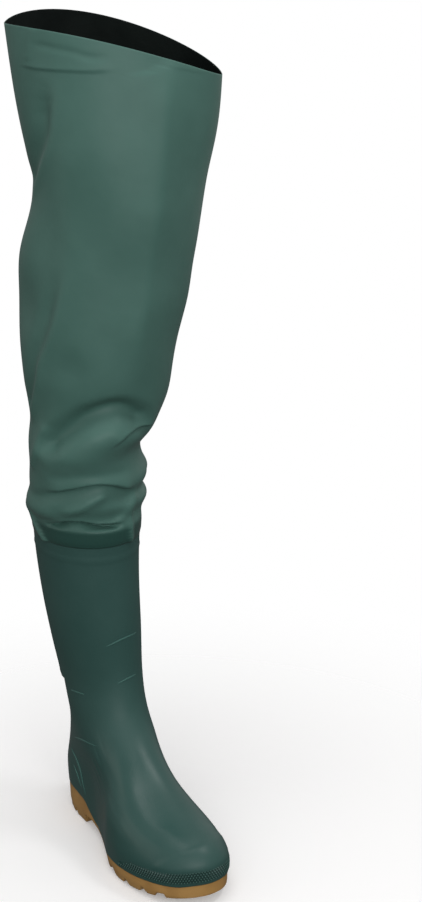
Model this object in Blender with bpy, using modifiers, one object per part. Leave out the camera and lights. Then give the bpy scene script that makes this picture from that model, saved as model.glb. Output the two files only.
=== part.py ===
"""A thigh wader for the right foot, in metres, standing on its sole.

The toe points along -Y, the wearer's outer side is -X, and +Z is up. The origin is on the floor, under
the middle of the heel. A moulded boot closes on a cleated outsole with an insole on it, and a slack leg
of coated cloth is welded round the boot's collar.
"""

import math
from collections import namedtuple

import bmesh
import bpy

# Driving sizes
SOLE_LENGTH = 0.302
BALL_WIDTH = 0.108
HEEL_WIDTH = 0.075
HEEL_LENGTH = 0.073
HEEL_BACK_Y = 0.035
COLLAR_HEIGHT = 0.386
WELD_HEIGHT = 0.366
RIM_HEIGHT = 0.9075
BOOT_WALL = 0.0028
LEG_WALL = 0.0010
GAP = 0.0003
AROUND = 48

# Sole sizes
TOE_SPRING = 0.0142
SPRING_START = 0.182
NOTCH_DEPTH = 0.0060
NOTCH_FLANK = 0.0030
HEEL_BEVEL = 0.009
OVERRUN = 0.010
TOE_STEPS = 8
SOLE_TAPER = 0.0044
HEEL_ROUND = 0.15 * SOLE_LENGTH
TOE_ROUND_START = 0.70 * SOLE_LENGTH
TOE_POWER = 2.4
GROOVE_STATION = 0.270
GROOVE_TURN = math.radians(38)
GROOVE_MOUTH = 0.012
GROOVE_REACH = 0.020
INSOLE_THICKNESS = 0.0035
INSOLE_CLEARANCE = 0.0010

# Boot sizes
CROWN_POWER = 3.1
FOOT_TOP = 0.060
SHAFT_START = 0.150
THROAT_HEIGHT = 0.180
BAND_PROUD = 0.0007
BODY_INSET = 0.0006

# Leg sizes: its axis stands over the heel, and its two fold corners lie on one line across it
LEG_AXIS_Y = -0.017
LEG_TURN = math.radians(60)
RIM_SLOPE = 0.0275
RIM_FRONT_LIFT = 0.011
RIM_REAR_LIFT = 0.026
RIM_REAR_SKEW = 0.17
RIM_REAR_POWER = 1.3
REAR_CREASE = 0.3
TILT_START = 0.545
BLEND_TOP = 0.404

# Plan of the foot: half width between the two round ends, and the sideways curve of its middle line.
# Stations are shares of the sole's length, forward from the back of the heel.
Plan = namedtuple("Plan", "station half_width")
PLAN = [
    Plan(0.15, HEEL_WIDTH / 2),
    Plan(0.25, 0.0372),
    Plan(0.36, 0.0355),
    Plan(0.48, 0.0412),
    Plan(0.59, 0.0502),
    Plan(0.70, BALL_WIDTH / 2),
]
Curve = namedtuple("Curve", "station sideways")
MIDDLE_LINE = [
    Curve(0.00, 0.0),
    Curve(0.25, -0.0010),
    Curve(0.45, -0.0045),
    Curve(0.58, -0.0065),
    Curve(0.66, -0.0050),
    Curve(0.74, -0.0015),
    Curve(0.84, 0.0035),
    Curve(0.93, 0.0066),
    Curve(1.00, 0.0095),
]

# The line where upper and sole meet, how high the raised band above it is, and the floor inside the boot,
# which lies in a shallow bed below that line
Feather = namedtuple("Feather", "station height band bed")
FEATHER = [
    Feather(0.00, 0.0376, 0.010, 0.0310),
    Feather(0.13, 0.0366, 0.010, 0.0300),
    Feather(0.21, 0.0350, 0.010, 0.0280),
    Feather(0.25, 0.0338, 0.011, 0.0262),
    Feather(0.31, 0.0240, 0.019, 0.0215),
    Feather(0.36, 0.0178, 0.020, 0.0165),
    Feather(0.45, 0.0164, 0.020, 0.0152),
    Feather(0.55, 0.0174, 0.019, 0.0152),
    Feather(0.65, 0.0200, 0.018, 0.0158),
    Feather(0.76, 0.0213, 0.017, 0.0172),
    Feather(0.88, 0.0240, 0.017, 0.0205),
    Feather(0.95, 0.0257, 0.018, 0.0236),
    Feather(1.00, 0.0288, 0.018, 0.0270),
]

# Lugs of the tread, from the heel forward: where each begins and ends on the floor
Lug = namedtuple("Lug", "back front")
HEEL_LUGS = [Lug(HEEL_BEVEL, 0.016), Lug(0.027, 0.043), Lug(0.053, HEEL_LENGTH)]
TOE_LUGS = [
    Lug(0.131, 0.140),
    Lug(0.151, 0.177),
    Lug(0.194, 0.212),
    Lug(0.223, 0.240),
    Lug(0.251, SOLE_LENGTH),
]

# The arched underside between heel and forefoot
Waist = namedtuple("Waist", "station height")
WAIST = [Waist(0.077, 0.0130), Waist(0.092, 0.0140), Waist(0.108, 0.0115), Waist(0.119, 0.0080)]

# Sections of the moulded boot, each from a point on the back of the heel to one on the toe, vamp or shin.
# follow is how much of the sole's wave the section keeps, band_follow how much of the band's, and proud
# how far its wall stands out.
Section = namedtuple("Section", "front front_height back back_height follow band_follow proud")
SECTIONS = [
    Section(0.3020, 0.0291, 0.0000, 0.0379, 1.0, 0.0, BAND_PROUD),
    Section(0.3032, 0.0383, -0.0010, 0.0429, 1.0, 0.5, BAND_PROUD),
    Section(0.3022, 0.0471, -0.0015, 0.0479, 1.0, 1.0, BAND_PROUD),
    Section(0.3008, 0.0485, -0.0015, 0.0491, 1.0, 1.0, -BODY_INSET),
    Section(0.2960, 0.0575, -0.0020, 0.0545, 0.8, 0.7, -BODY_INSET),
    Section(0.2870, 0.0647, -0.0022, 0.0603, 0.5, 0.4, -BODY_INSET),
    Section(0.2700, 0.0723, -0.0018, 0.0664, 0.3, 0.2, -BODY_INSET),
    Section(0.2460, 0.0805, -0.0008, 0.0735, 0.1, 0.1, 0.0),
    Section(0.2210, 0.0918, 0.0010, 0.0815, 0.0, 0.0, 0.0),
    Section(0.1970, 0.1045, 0.0030, 0.0900, 0.0, 0.0, 0.0),
    Section(0.1750, 0.1182, 0.0055, 0.1010, 0.0, 0.0, 0.0),
    Section(0.1545, 0.1335, 0.0075, 0.1140, 0.0, 0.0, 0.0),
    Section(0.1375, 0.1500, 0.0075, 0.1300, 0.0, 0.0, 0.0),
    Section(0.1262, 0.1685, 0.0045, 0.1500, 0.0, 0.0, 0.0),
    Section(0.1195, 0.1895, -0.0020, 0.1750, 0.0, 0.0, 0.0),
    Section(0.1165, 0.2160, -0.0105, 0.2070, 0.0, 0.0, 0.0),
    Section(0.1155, 0.2470, -0.0170, 0.2430, 0.0, 0.0, 0.0),
    Section(0.1145, 0.2800, -0.0225, 0.2790, 0.0, 0.0, 0.0),
    Section(0.1140, 0.3150, -0.0265, 0.3150, 0.0, 0.0, 0.0),
    Section(0.1145, 0.3500, -0.0290, 0.3500, 0.0, 0.0, 0.0),
    Section(0.1170, COLLAR_HEIGHT, -0.0290, COLLAR_HEIGHT, 0.0, 0.0, 0.0),
]
Shaft = namedtuple("Shaft", "height half_width sideways")
SHAFT = [
    Shaft(0.060, 0.0450, 0.0),
    Shaft(0.100, 0.0455, 0.0),
    Shaft(0.140, 0.0420, 0.0),
    Shaft(0.180, 0.0440, 0.0),
    Shaft(0.220, 0.0487, -0.002),
    Shaft(0.260, 0.0525, -0.004),
    Shaft(0.300, 0.0550, -0.006),
    Shaft(0.345, 0.0577, -0.007),
    Shaft(COLLAR_HEIGHT, 0.0600, -0.007),
]

# Sections of the leg: its reach from the axis to the outer and inner fold corner and to the front and rear
# panel. corner is 1 for a round section and more for one that is creased at its two fold corners.
Slice = namedtuple("Slice", "height outer inner front rear corner")
LEG = [
    Slice(0.392, 0.0750, 0.0535, 0.068, 0.073, 1.00),
    Slice(0.401, 0.0775, 0.0570, 0.069, 0.076, 1.00),
    Slice(0.411, 0.0770, 0.0605, 0.075, 0.080, 1.00),
    Slice(0.422, 0.0735, 0.0560, 0.075, 0.076, 1.00),
    Slice(0.433, 0.0730, 0.0605, 0.074, 0.078, 1.00),
    Slice(0.450, 0.0720, 0.0575, 0.080, 0.082, 1.00),
    Slice(0.464, 0.0720, 0.0545, 0.083, 0.080, 1.00),
    Slice(0.474, 0.0720, 0.0555, 0.083, 0.077, 1.00),
    Slice(0.488, 0.0710, 0.0665, 0.081, 0.080, 1.00),
    Slice(0.508, 0.0690, 0.0775, 0.081, 0.084, 1.02),
    Slice(0.530, 0.0720, 0.0865, 0.080, 0.084, 1.05),
    Slice(0.560, 0.0750, 0.0925, 0.084, 0.084, 1.08),
    Slice(0.600, 0.0770, 0.1000, 0.085, 0.084, 1.12),
    Slice(0.645, 0.0760, 0.1110, 0.084, 0.084, 1.16),
    Slice(0.685, 0.0725, 0.1170, 0.084, 0.086, 1.18),
    Slice(0.715, 0.0625, 0.1220, 0.086, 0.088, 1.18),
    Slice(0.742, 0.0560, 0.1260, 0.087, 0.090, 1.18),
    Slice(0.770, 0.0585, 0.1300, 0.086, 0.090, 1.20),
    Slice(0.800, 0.0645, 0.1350, 0.084, 0.088, 1.22),
    Slice(0.835, 0.0705, 0.1425, 0.080, 0.085, 1.26),
    Slice(0.870, 0.0748, 0.1480, 0.076, 0.082, 1.30),
    Slice(RIM_HEIGHT, 0.0785, 0.1510, 0.072, 0.079, 1.34),
]

# Colours, as linear red, green and blue, with roughness
Finish = namedtuple("Finish", "colour roughness")
BOOT_GREEN = Finish((0.022, 0.062, 0.050), 0.42)
LEG_GREEN = Finish((0.050, 0.105, 0.088), 0.55)
SOLE_AMBER = Finish((0.300, 0.170, 0.050), 0.50)
INSOLE_BLACK = Finish((0.012, 0.012, 0.012), 0.85)


def smooth_curve(places, values):
    """A function through the given values that eases from each to the next and never overshoots."""
    last = len(places) - 1
    rises = [(values[i + 1] - values[i]) / (places[i + 1] - places[i]) for i in range(last)]
    slopes = [0.0] * (last + 1)
    for i in range(1, last):
        if rises[i - 1] * rises[i] > 0:
            slopes[i] = 2 * rises[i - 1] * rises[i] / (rises[i - 1] + rises[i])

    def value(place):
        if place <= places[0]:
            return values[0]
        if place >= places[last]:
            return values[last]
        i = max(k for k in range(last) if places[k] <= place)
        width = places[i + 1] - places[i]
        t = (place - places[i]) / width
        ease = t * t * (3 - 2 * t)
        lean = slopes[i] * t * (1 - t) * (1 - t) - slopes[i + 1] * t * t * (1 - t)
        return values[i] + (values[i + 1] - values[i]) * ease + width * lean

    return value


def column(rows, name, along="station", scale=1.0):
    """One column of a table as a smooth curve over another, whose places are scaled."""
    return smooth_curve([getattr(r, along) * scale for r in rows], [getattr(r, name) for r in rows])


plan_middle = column(PLAN, "half_width", scale=SOLE_LENGTH)
middle_line = column(MIDDLE_LINE, "sideways", scale=SOLE_LENGTH)
feather_height = column(FEATHER, "height", scale=SOLE_LENGTH)
band_height = column(FEATHER, "band", scale=SOLE_LENGTH)
bed_height = column(FEATHER, "bed", scale=SOLE_LENGTH)
shaft_half_width = column(SHAFT, "half_width", along="height")
shaft_sideways = column(SHAFT, "sideways", along="height")
VAMP = [row for row in SECTIONS[3:] if row.front_height < THROAT_HEIGHT]
vamp_height = column(list(reversed(VAMP)), "front_height", along="front")
shin_front = column(SECTIONS[3:], "front", along="front_height")
heel_back = column(SECTIONS, "back", along="back_height")


def eased(value, low, high):
    """0 below low, 1 above high, and a soft step between."""
    t = min(1.0, max(0.0, (value - low) / (high - low)))
    return t * t * (3 - 2 * t)


def plan_half_width(station):
    """Half the foot's width at a station: an ellipse at the heel, a fuller round at the toe."""
    if station < HEEL_ROUND:
        share = min(1.0, (HEEL_ROUND - station) / HEEL_ROUND)
        return HEEL_WIDTH / 2 * math.sqrt(1 - share * share)
    if station > TOE_ROUND_START:
        share = min(1.0, (station - TOE_ROUND_START) / (SOLE_LENGTH - TOE_ROUND_START))
        return BALL_WIDTH / 2 * math.sqrt(1 - share**TOE_POWER)
    return plan_middle(station)


def spring(station):
    """How far the toe spring lifts the tread at a station."""
    share = max(0.0, (station - SPRING_START) / (SOLE_LENGTH - SPRING_START))
    return TOE_SPRING * share * share


def outline(inset):
    """The foot's plan as points round it, drawn in by inset."""
    points = []
    for j in range(2 * AROUND):
        turn = 2 * math.pi * j / (2 * AROUND)
        station = SOLE_LENGTH * (1 - math.cos(turn)) / 2
        shrink = 1 - 2 * inset / SOLE_LENGTH
        side = -1 if turn < math.pi else 1
        half = max(0.0, plan_half_width(station) - inset * abs(math.sin(turn)) ** 0.5)
        drawn = SOLE_LENGTH / 2 + (station - SOLE_LENGTH / 2) * shrink
        points.append((middle_line(station) + side * half, HEEL_BACK_Y - drawn))
    return points


def material(name, finish):
    """A plain surface with a colour and a roughness."""
    made = bpy.data.materials.new(name)
    made.use_nodes = True
    shader = made.node_tree.nodes["Principled BSDF"]
    shader.inputs["Base Color"].default_value = (*finish.colour, 1.0)
    shader.inputs["Roughness"].default_value = finish.roughness
    shader.inputs["Metallic"].default_value = 0.0
    return made


def loft(name, rings, closed):
    """A mesh object through rings of points, with a face over each end where it is closed."""
    bm = bmesh.new()
    loops = [[bm.verts.new(p) for p in ring] for ring in rings]
    count = len(loops[0])
    for low, high in zip(loops, loops[1:]):
        for j in range(count):
            k = (j + 1) % count
            bm.faces.new((low[j], low[k], high[k], high[j]))
    if closed:
        bm.faces.new(loops[0])
        bm.faces.new(loops[-1])
    bmesh.ops.recalc_face_normals(bm, faces=bm.faces)
    mesh = bpy.data.meshes.new(name)
    bm.to_mesh(mesh)
    bm.free()
    mesh.shade_smooth()
    mesh.set_sharp_from_angle(angle=math.radians(35))
    return bpy.data.objects.new(name, mesh)


def side_profile(name, points, half_width):
    """A solid bar across the foot with the given outline of stations and heights."""
    rings = [[(x, HEEL_BACK_Y - s, z) for s, z in points] for x in (-half_width, half_width)]
    return loft(name, rings, closed=True)


def cut(obj, cutter, operation):
    """Keeps the part of obj inside cutter, or takes that part away."""
    cutter.hide_render = True
    cutter.display_type = "WIRE"
    made = obj.modifiers.new(cutter.name, "BOOLEAN")
    made.operation = operation
    made.solver = "EXACT"
    made.object = cutter


def wall(obj, thickness):
    """Gives an open surface a wall on its inner side."""
    made = obj.modifiers.new("wall", "SOLIDIFY")
    made.thickness = thickness
    made.offset = -1.0
    made.use_even_offset = True


def tread_line():
    """The underside from the heel's bevel to the toe, with its lugs, as stations and heights."""
    points = [(-OVERRUN, HEEL_BEVEL)]
    points += notched(HEEL_LUGS[0])[1:]
    for lug in HEEL_LUGS[1:]:
        points += notched(lug)
    points += [(row.station, row.height) for row in WAIST]
    for lug in TOE_LUGS:
        points += notched(lug)
    del points[-2:]
    start = TOE_LUGS[-1].back
    for i in range(1, TOE_STEPS + 1):
        station = start + (SOLE_LENGTH + OVERRUN - start) * i / TOE_STEPS
        points.append((station, spring(station)))
    return points


def notched(lug):
    """A lug's rear flank, its foot and its front flank."""
    return [
        (lug.back - NOTCH_FLANK, NOTCH_DEPTH + spring(lug.back)),
        (lug.back, spring(lug.back)),
        (lug.front, spring(lug.front)),
        (lug.front + NOTCH_FLANK, NOTCH_DEPTH + spring(lug.front)),
    ]


def long_line(height, rise):
    """A line along the foot from toe to heel, through the stations of the boot's own sections."""
    turns = [2 * math.pi * j / AROUND for j in range(AROUND // 2 + 1)]
    stations = [SOLE_LENGTH * (1 + math.cos(turn)) / 2 for turn in turns]
    stations = [SOLE_LENGTH + OVERRUN] + stations + [-OVERRUN]
    return [(s, height(s) + rise) for s in stations]


def make_toe_groove():
    """A cutter for the short notch across the outer rim of the toe lug."""
    low = spring(GROOVE_STATION) - NOTCH_DEPTH
    high = spring(GROOVE_STATION) + NOTCH_DEPTH
    half = GROOVE_MOUTH / 2
    wide = half + NOTCH_FLANK
    narrow = half - NOTCH_FLANK
    flanks = [(-wide, low), (wide, low), (narrow, high), (-narrow, high)]
    edge_x = middle_line(GROOVE_STATION) - plan_half_width(GROOVE_STATION)
    edge_y = HEEL_BACK_Y - GROOVE_STATION
    inward = (math.cos(GROOVE_TURN), math.sin(GROOVE_TURN))
    along = (-inward[1], inward[0])
    rings = []
    for reach in (-GROOVE_REACH, GROOVE_REACH):
        x = edge_x + reach * inward[0]
        y = edge_y + reach * inward[1]
        rings.append([(x + w * along[0], y + w * along[1], z) for w, z in flanks])
    return loft("toe_groove", rings, closed=True)


def plan_block(name, inset):
    """An upright block over the foot's plan, drawn in by inset."""
    rings = [[(x, y, z) for x, y in outline(inset)] for z in (0.0, FOOT_TOP)]
    return loft(name, rings, closed=True)


def make_bed():
    """A cutter for the shallow bed in the top of the sole, and the block that trims it."""
    top = [(SOLE_LENGTH + OVERRUN, FOOT_TOP), (-OVERRUN, FOOT_TOP)]
    bed = side_profile("sole_bed", list(reversed(long_line(bed_height, 0.0))) + top, BALL_WIDTH)
    plan = plan_block("sole_bed_plan", BOOT_WALL)
    cut(bed, plan, "INTERSECT")
    return bed, plan


def make_outsole():
    """The moulded sole: its lugged side profile trimmed to the plan, which narrows towards the floor."""
    levels = [(-OVERRUN, SOLE_TAPER * 1.3), (WAIST[0].height, SOLE_TAPER / 4), (FOOT_TOP, 0.0)]
    rings = [[(x, y, z) for x, y in outline(inset)] for z, inset in levels]
    plan = loft("outsole_plan", rings, closed=True)
    sole = side_profile("outsole", tread_line() + long_line(feather_height, 0.0), BALL_WIDTH)
    cut(sole, plan, "INTERSECT")
    groove = make_toe_groove()
    cut(sole, groove, "DIFFERENCE")
    bed, bed_plan = make_bed()
    cut(sole, bed, "DIFFERENCE")
    return sole, [plan, groove, bed, bed_plan]


def make_insole():
    """A thin pad that lies in the sole's bed inside the boot's wall."""
    plan = plan_block("insole_plan", BOOT_WALL + INSOLE_CLEARANCE)
    under = list(reversed(long_line(bed_height, GAP)))
    pad = side_profile("insole", under + long_line(bed_height, GAP + INSOLE_THICKNESS), BALL_WIDTH)
    cut(pad, plan, "INTERSECT")
    return pad, [plan]


def foot_half_width(station, height):
    """Half the foot's width at a point of its side view: a crowned section over each station of the plan."""
    back = heel_back(height)
    along = SOLE_LENGTH * max(0.0, station - back) / (SOLE_LENGTH - back)
    base = feather_height(station)
    crown = max(base + 0.001, vamp_height(station)) if station > VAMP[-1].front else 1.0
    share = min(1.0, max(0.0, (height - base) / (crown - base)))
    return plan_half_width(min(along, SOLE_LENGTH)) * math.sqrt(1 - share**CROWN_POWER)


def shaft_width_at(station, height):
    """Half the shaft's width at a point of its side view: an ellipse at each height."""
    front, back = shin_front(height), heel_back(height)
    share = (2 * station - front - back) / (front - back)
    return shaft_half_width(height) * math.sqrt(max(0.0, 1 - share * share))


def section_ring(section, widen):
    """The points of one boot section, from the heel round the outer side to the front and back inside."""
    back, front = section.back, section.front
    ring = []
    for j in range(AROUND):
        turn = 2 * math.pi * j / AROUND
        share = (1 - math.cos(turn)) / 2
        station = back + share * (front - back)
        height = section.back_height + share * (section.front_height - section.back_height)
        wave = feather_height(station) - feather_height(back) * (1 - share) - feather_height(front) * share
        band = band_height(station) - band_height(back) * (1 - share) - band_height(front) * share
        height += section.follow * wave + section.band_follow * band
        blend = eased(height, FOOT_TOP, SHAFT_START)
        if section.follow == 1.0:
            foot = plan_half_width(SOLE_LENGTH * share)
        else:
            foot = foot_half_width(station, height)
        half = foot * (1 - blend) + shaft_width_at(station, height) * blend
        half += (section.proud + widen) * abs(math.sin(turn))
        centre = middle_line(station) * (1 - blend) + shaft_sideways(height) * blend
        side = -1 if turn < math.pi else 1
        ahead = (section.proud + widen) * math.cos(turn)
        ring.append((centre + side * half, HEEL_BACK_Y - station + ahead, height))
    return ring


def make_boot():
    """The foot and calf, moulded whole: one wall, open at the collar and over the sole."""
    boot = loft("boot_upper", [section_ring(s, 0.0) for s in SECTIONS], closed=False)
    wall(boot, BOOT_WALL)
    return boot


def collar_section(height):
    """A level section of the boot's shaft at a height."""
    return Section(shin_front(height), height, heel_back(height), height, 0.0, 0.0, 0.0)


def rim_offset(turn):
    """How far the leg's slanted rim lies above its mean height, at a turn from the outer fold corner."""
    across = math.sin(turn)
    if across > 0:
        lift = RIM_FRONT_LIFT * across * across
    else:
        lift = RIM_REAR_LIFT * (1 + RIM_REAR_SKEW * math.cos(turn)) * (-across) ** RIM_REAR_POWER
    return RIM_SLOPE * math.cos(turn) + lift


def slice_ring(row):
    """The points of one leg section, starting at the back as the boot's sections do."""
    low_cut = eased(row.height, WELD_HEIGHT + 0.02, BLEND_TOP)
    welded = section_ring(collar_section(min(row.height, COLLAR_HEIGHT)), LEG_WALL + GAP)
    tilt = eased(row.height, TILT_START, RIM_HEIGHT)
    outward = (-math.sin(LEG_TURN), math.cos(LEG_TURN))
    forward = (-math.cos(LEG_TURN), -math.sin(LEG_TURN))
    ring = []
    for j in range(AROUND):
        turn = 2 * math.pi * j / AROUND - LEG_TURN
        along = (row.outer - row.inner) / 2 + (row.outer + row.inner) / 2 * math.cos(turn)
        bow = math.sin(turn)
        if bow > 0:
            across = row.front * bow**row.corner
        else:
            across = -row.rear * (-bow) ** (1 + (row.corner - 1) * REAR_CREASE)
        x = outward[0] * along + forward[0] * across
        y = LEG_AXIS_Y + outward[1] * along + forward[1] * across
        x = welded[j][0] * (1 - low_cut) + x * low_cut
        y = welded[j][1] * (1 - low_cut) + y * low_cut
        ring.append((x, y, row.height + tilt * rim_offset(turn)))
    return ring


def make_leg():
    """The slack leg: a thin sleeve that laps the collar below and is open at its slanted rim."""
    levels = (WELD_HEIGHT, (WELD_HEIGHT + COLLAR_HEIGHT) / 2, COLLAR_HEIGHT)
    hem = [section_ring(collar_section(z), LEG_WALL + GAP) for z in levels]
    leg = loft("thigh_leg", hem + [slice_ring(row) for row in LEG], closed=False)
    wall(leg, LEG_WALL)
    return leg


def main():
    """Clears the scene and makes the wader's four pieces."""
    for obj in list(bpy.data.objects):
        bpy.data.objects.remove(obj)
    wader = bpy.data.collections.new("thigh_wader")
    cutters = bpy.data.collections.new("cutters")
    bpy.context.scene.collection.children.link(wader)
    bpy.context.scene.collection.children.link(cutters)
    stand = bpy.data.objects.new("wader_stand", None)
    wader.objects.link(stand)
    outsole, outsole_cutters = make_outsole()
    insole, insole_cutters = make_insole()
    pieces = [
        (outsole, material("amber_sole_compound", SOLE_AMBER)),
        (insole, material("black_insole_cloth", INSOLE_BLACK)),
        (make_boot(), material("dark_green_boot_compound", BOOT_GREEN)),
        (make_leg(), material("grey_green_coated_cloth", LEG_GREEN)),
    ]
    for obj, finish in pieces:
        obj.data.materials.append(finish)
        obj.parent = stand
        wader.objects.link(obj)
    for cutter in outsole_cutters + insole_cutters:
        cutters.objects.link(cutter)


main()
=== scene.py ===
"""Looks of a thigh wader for the right foot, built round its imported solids, in metres.

The toe points along -Y, the wearer's outer side is -X and +Z is up, as in the solids. The moulded boot, its
cleated sole and the slack leg are modelled finely here and stand for their solids.
"""

import logging
import math
from collections.abc import Sequence
from dataclasses import dataclass
from enum import Enum
from typing import NamedTuple

import bmesh
import bpy
import numpy as np
from mathutils import Matrix, Vector
from mathutils.bvhtree import BVHTree


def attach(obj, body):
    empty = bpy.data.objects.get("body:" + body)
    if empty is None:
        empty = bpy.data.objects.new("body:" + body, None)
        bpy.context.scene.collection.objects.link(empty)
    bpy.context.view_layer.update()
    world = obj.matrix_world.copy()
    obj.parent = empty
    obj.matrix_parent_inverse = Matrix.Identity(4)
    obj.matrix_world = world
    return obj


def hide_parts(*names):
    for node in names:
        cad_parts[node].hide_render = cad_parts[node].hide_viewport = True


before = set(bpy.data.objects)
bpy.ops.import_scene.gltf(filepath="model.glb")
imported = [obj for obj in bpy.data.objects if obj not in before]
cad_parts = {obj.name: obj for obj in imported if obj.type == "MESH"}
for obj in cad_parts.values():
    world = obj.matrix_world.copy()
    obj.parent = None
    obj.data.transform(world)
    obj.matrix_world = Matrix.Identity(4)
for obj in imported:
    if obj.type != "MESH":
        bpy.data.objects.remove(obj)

LOG = logging.getLogger("wader")
BODY = "root"
TINY = 1e-12
SAME_POINT = 1e-6
WHITE = (1.0, 1.0, 1.0)
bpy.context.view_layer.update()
Colour = tuple[float, float, float]
Place = tuple[float, float, float]
Span = tuple[float, float]
Material = bpy.types.Material
Mesh = bpy.types.Mesh
Node = bpy.types.Node
NodeTree = bpy.types.NodeTree
Piece = bpy.types.Object
Socket = bpy.types.NodeSocket


class Side(Enum):
    """The wearer's two sides of the boot, as the sign of X."""

    OUTER = -1
    INNER = 1


class FoldKind(Enum):
    """How the cloth goes over a fold line."""

    TROUGH = "a soft valley"
    RIDGE = "a rounded rise"
    CREST = "a pressed edge between two flat panels"
    BREAK = "an edge with the cloth fallen in on its lower side"
    TUCK = "a lap that hangs over the line and drops in below it"


def soft_step(share: np.ndarray | float) -> np.ndarray:
    """A share from 0 to 1 that starts and ends level."""
    return share * share * (3 - 2 * share)


def eased(value: np.ndarray | float, low: float, high: float) -> np.ndarray:
    """0 below low, 1 above high, and a soft step between."""
    return soft_step(np.clip((value - low) / (high - low), 0.0, 1.0))


def span_of(places: np.ndarray, wanted: np.ndarray | float) -> np.ndarray:
    """The number of the span between rising places that each wanted place lies in."""
    return np.clip(np.searchsorted(places, wanted, side="right") - 1, 0, len(places) - 2)


def unit(vectors: np.ndarray) -> np.ndarray:
    """Vectors along the last axis, brought to a length of 1."""
    return vectors / np.maximum(np.linalg.norm(vectors, axis=-1, keepdims=True), TINY)


class SmoothCurve:
    """Values over places that ease from each to the next and never overshoot."""

    def __init__(self, places: Sequence[float], values: Sequence[float]) -> None:
        """Finds the slope at each place.

        Args:
            places: rising places.
            values: the value at each place.
        """
        self.places = np.array(places, float)
        self.values = np.array(values, float)
        rises = np.diff(self.values) / np.diff(self.places)
        self.slopes = np.zeros(len(self.places))
        product = rises[:-1] * rises[1:]
        total = np.where(product > 0, rises[:-1] + rises[1:], 1.0)
        self.slopes[1:-1] = np.where(product > 0, 2 * product / total, 0.0)

    def __call__(self, place: np.ndarray | float) -> np.ndarray:
        """The value at one place or many.

        Args:
            place: where to read the curve; its ends hold beyond them.

        Returns:
            The values, in the shape of place.
        """
        held = np.clip(place, self.places[0], self.places[-1])
        i = span_of(self.places, held)
        width = self.places[i + 1] - self.places[i]
        t = (held - self.places[i]) / width
        ease = soft_step(t)
        lean = self.slopes[i] * t * (1 - t) ** 2 - self.slopes[i + 1] * t * t * (1 - t)
        return self.values[i] + (self.values[i + 1] - self.values[i]) * ease + width * lean


class RingLoft:
    """A smooth surface through rings of points that lie one above the other."""

    def __init__(self, rings: np.ndarray) -> None:
        """Fits a cubic curve along each column of the rings.

        Args:
            rings: points by ring, by turn, by axis.
        """
        self.rings = rings
        gaps = np.linalg.norm(np.diff(rings, axis=0), axis=2).mean(axis=1)
        self.places = np.concatenate(([0.0], np.cumsum(gaps)))
        count = len(rings)
        system = np.eye(count)
        wanted = np.zeros_like(rings)
        for i in range(1, count - 1):
            system[i, i - 1 : i + 2] = gaps[i - 1], 2 * (gaps[i - 1] + gaps[i]), gaps[i]
            rise = (rings[i + 1] - rings[i]) / gaps[i] - (rings[i] - rings[i - 1]) / gaps[i - 1]
            wanted[i] = 6 * rise
        self.bends = np.linalg.solve(system, wanted.reshape(count, -1)).reshape(rings.shape)

    def at(self, places: np.ndarray) -> np.ndarray:
        """Rings at any places along the surface.

        Args:
            places: distances along the loft.

        Returns:
            Points by place, by turn, by axis.
        """
        i = span_of(self.places, places)
        gap = (self.places[i + 1] - self.places[i])[:, None, None]
        b = (places - self.places[i])[:, None, None] / gap
        a = 1 - b
        bow = ((a**3 - a) * self.bends[i] + (b**3 - b) * self.bends[i + 1]) * gap**2 / 6
        return a * self.rings[i] + b * self.rings[i + 1] + bow

    def rows(self, pitches: Sequence[float]) -> np.ndarray:
        """Rings of a grid, so that no two neighbours are further apart than a pitch.

        Args:
            pitches: the widest gap between the grid's rows, from each ring to the next.

        Returns:
            Points by row, by turn, by axis, from the first ring to the last.
        """
        widest = np.linalg.norm(np.diff(self.rings, axis=0), axis=2).max(axis=1)
        parts = []
        for i, (wide, pitch) in enumerate(zip(widest, pitches)):
            count = max(1, math.ceil(wide / pitch))
            parts.append(np.linspace(self.places[i], self.places[i + 1], count, endpoint=False))
        return self.at(np.concatenate([*parts, self.places[-1:]]))


def column(rows: Sequence[NamedTuple], name: str, along: str, scale: float = 1.0) -> SmoothCurve:
    """One column of a table as a smooth curve over another, whose places are scaled."""
    return SmoothCurve([getattr(r, along) * scale for r in rows], [getattr(r, name) for r in rows])


def grid_normals(points: np.ndarray) -> np.ndarray:
    """Outward normals of a grid that closes round its second axis.

    Args:
        points: points by row, by turn, by axis, with turns that run anticlockwise seen from above.

    Returns:
        Unit normals in the same shape.
    """
    around = np.roll(points, -1, axis=1) - np.roll(points, 1, axis=1)
    upward = np.gradient(points, axis=0)
    return unit(np.cross(around, upward))


def between(grid: np.ndarray, row: np.ndarray, turn: np.ndarray) -> np.ndarray:
    """Values of a grid between its rows and turns.

    Args:
        grid: values by row, by turn, by axis.
        row: places along its rows.
        turn: places along its turns.

    Returns:
        The values, one for each pair of places.
    """
    k = np.clip(row.astype(int), 0, grid.shape[0] - 2)
    i = np.clip(turn.astype(int), 0, grid.shape[1] - 2)
    g = (row - k)[:, None]
    f = (turn - i)[:, None]
    lower = grid[k, i] * (1 - f) + grid[k, i + 1] * f
    upper = grid[k + 1, i] * (1 - f) + grid[k + 1, i + 1] * f
    return lower * (1 - g) + upper * g


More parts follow.
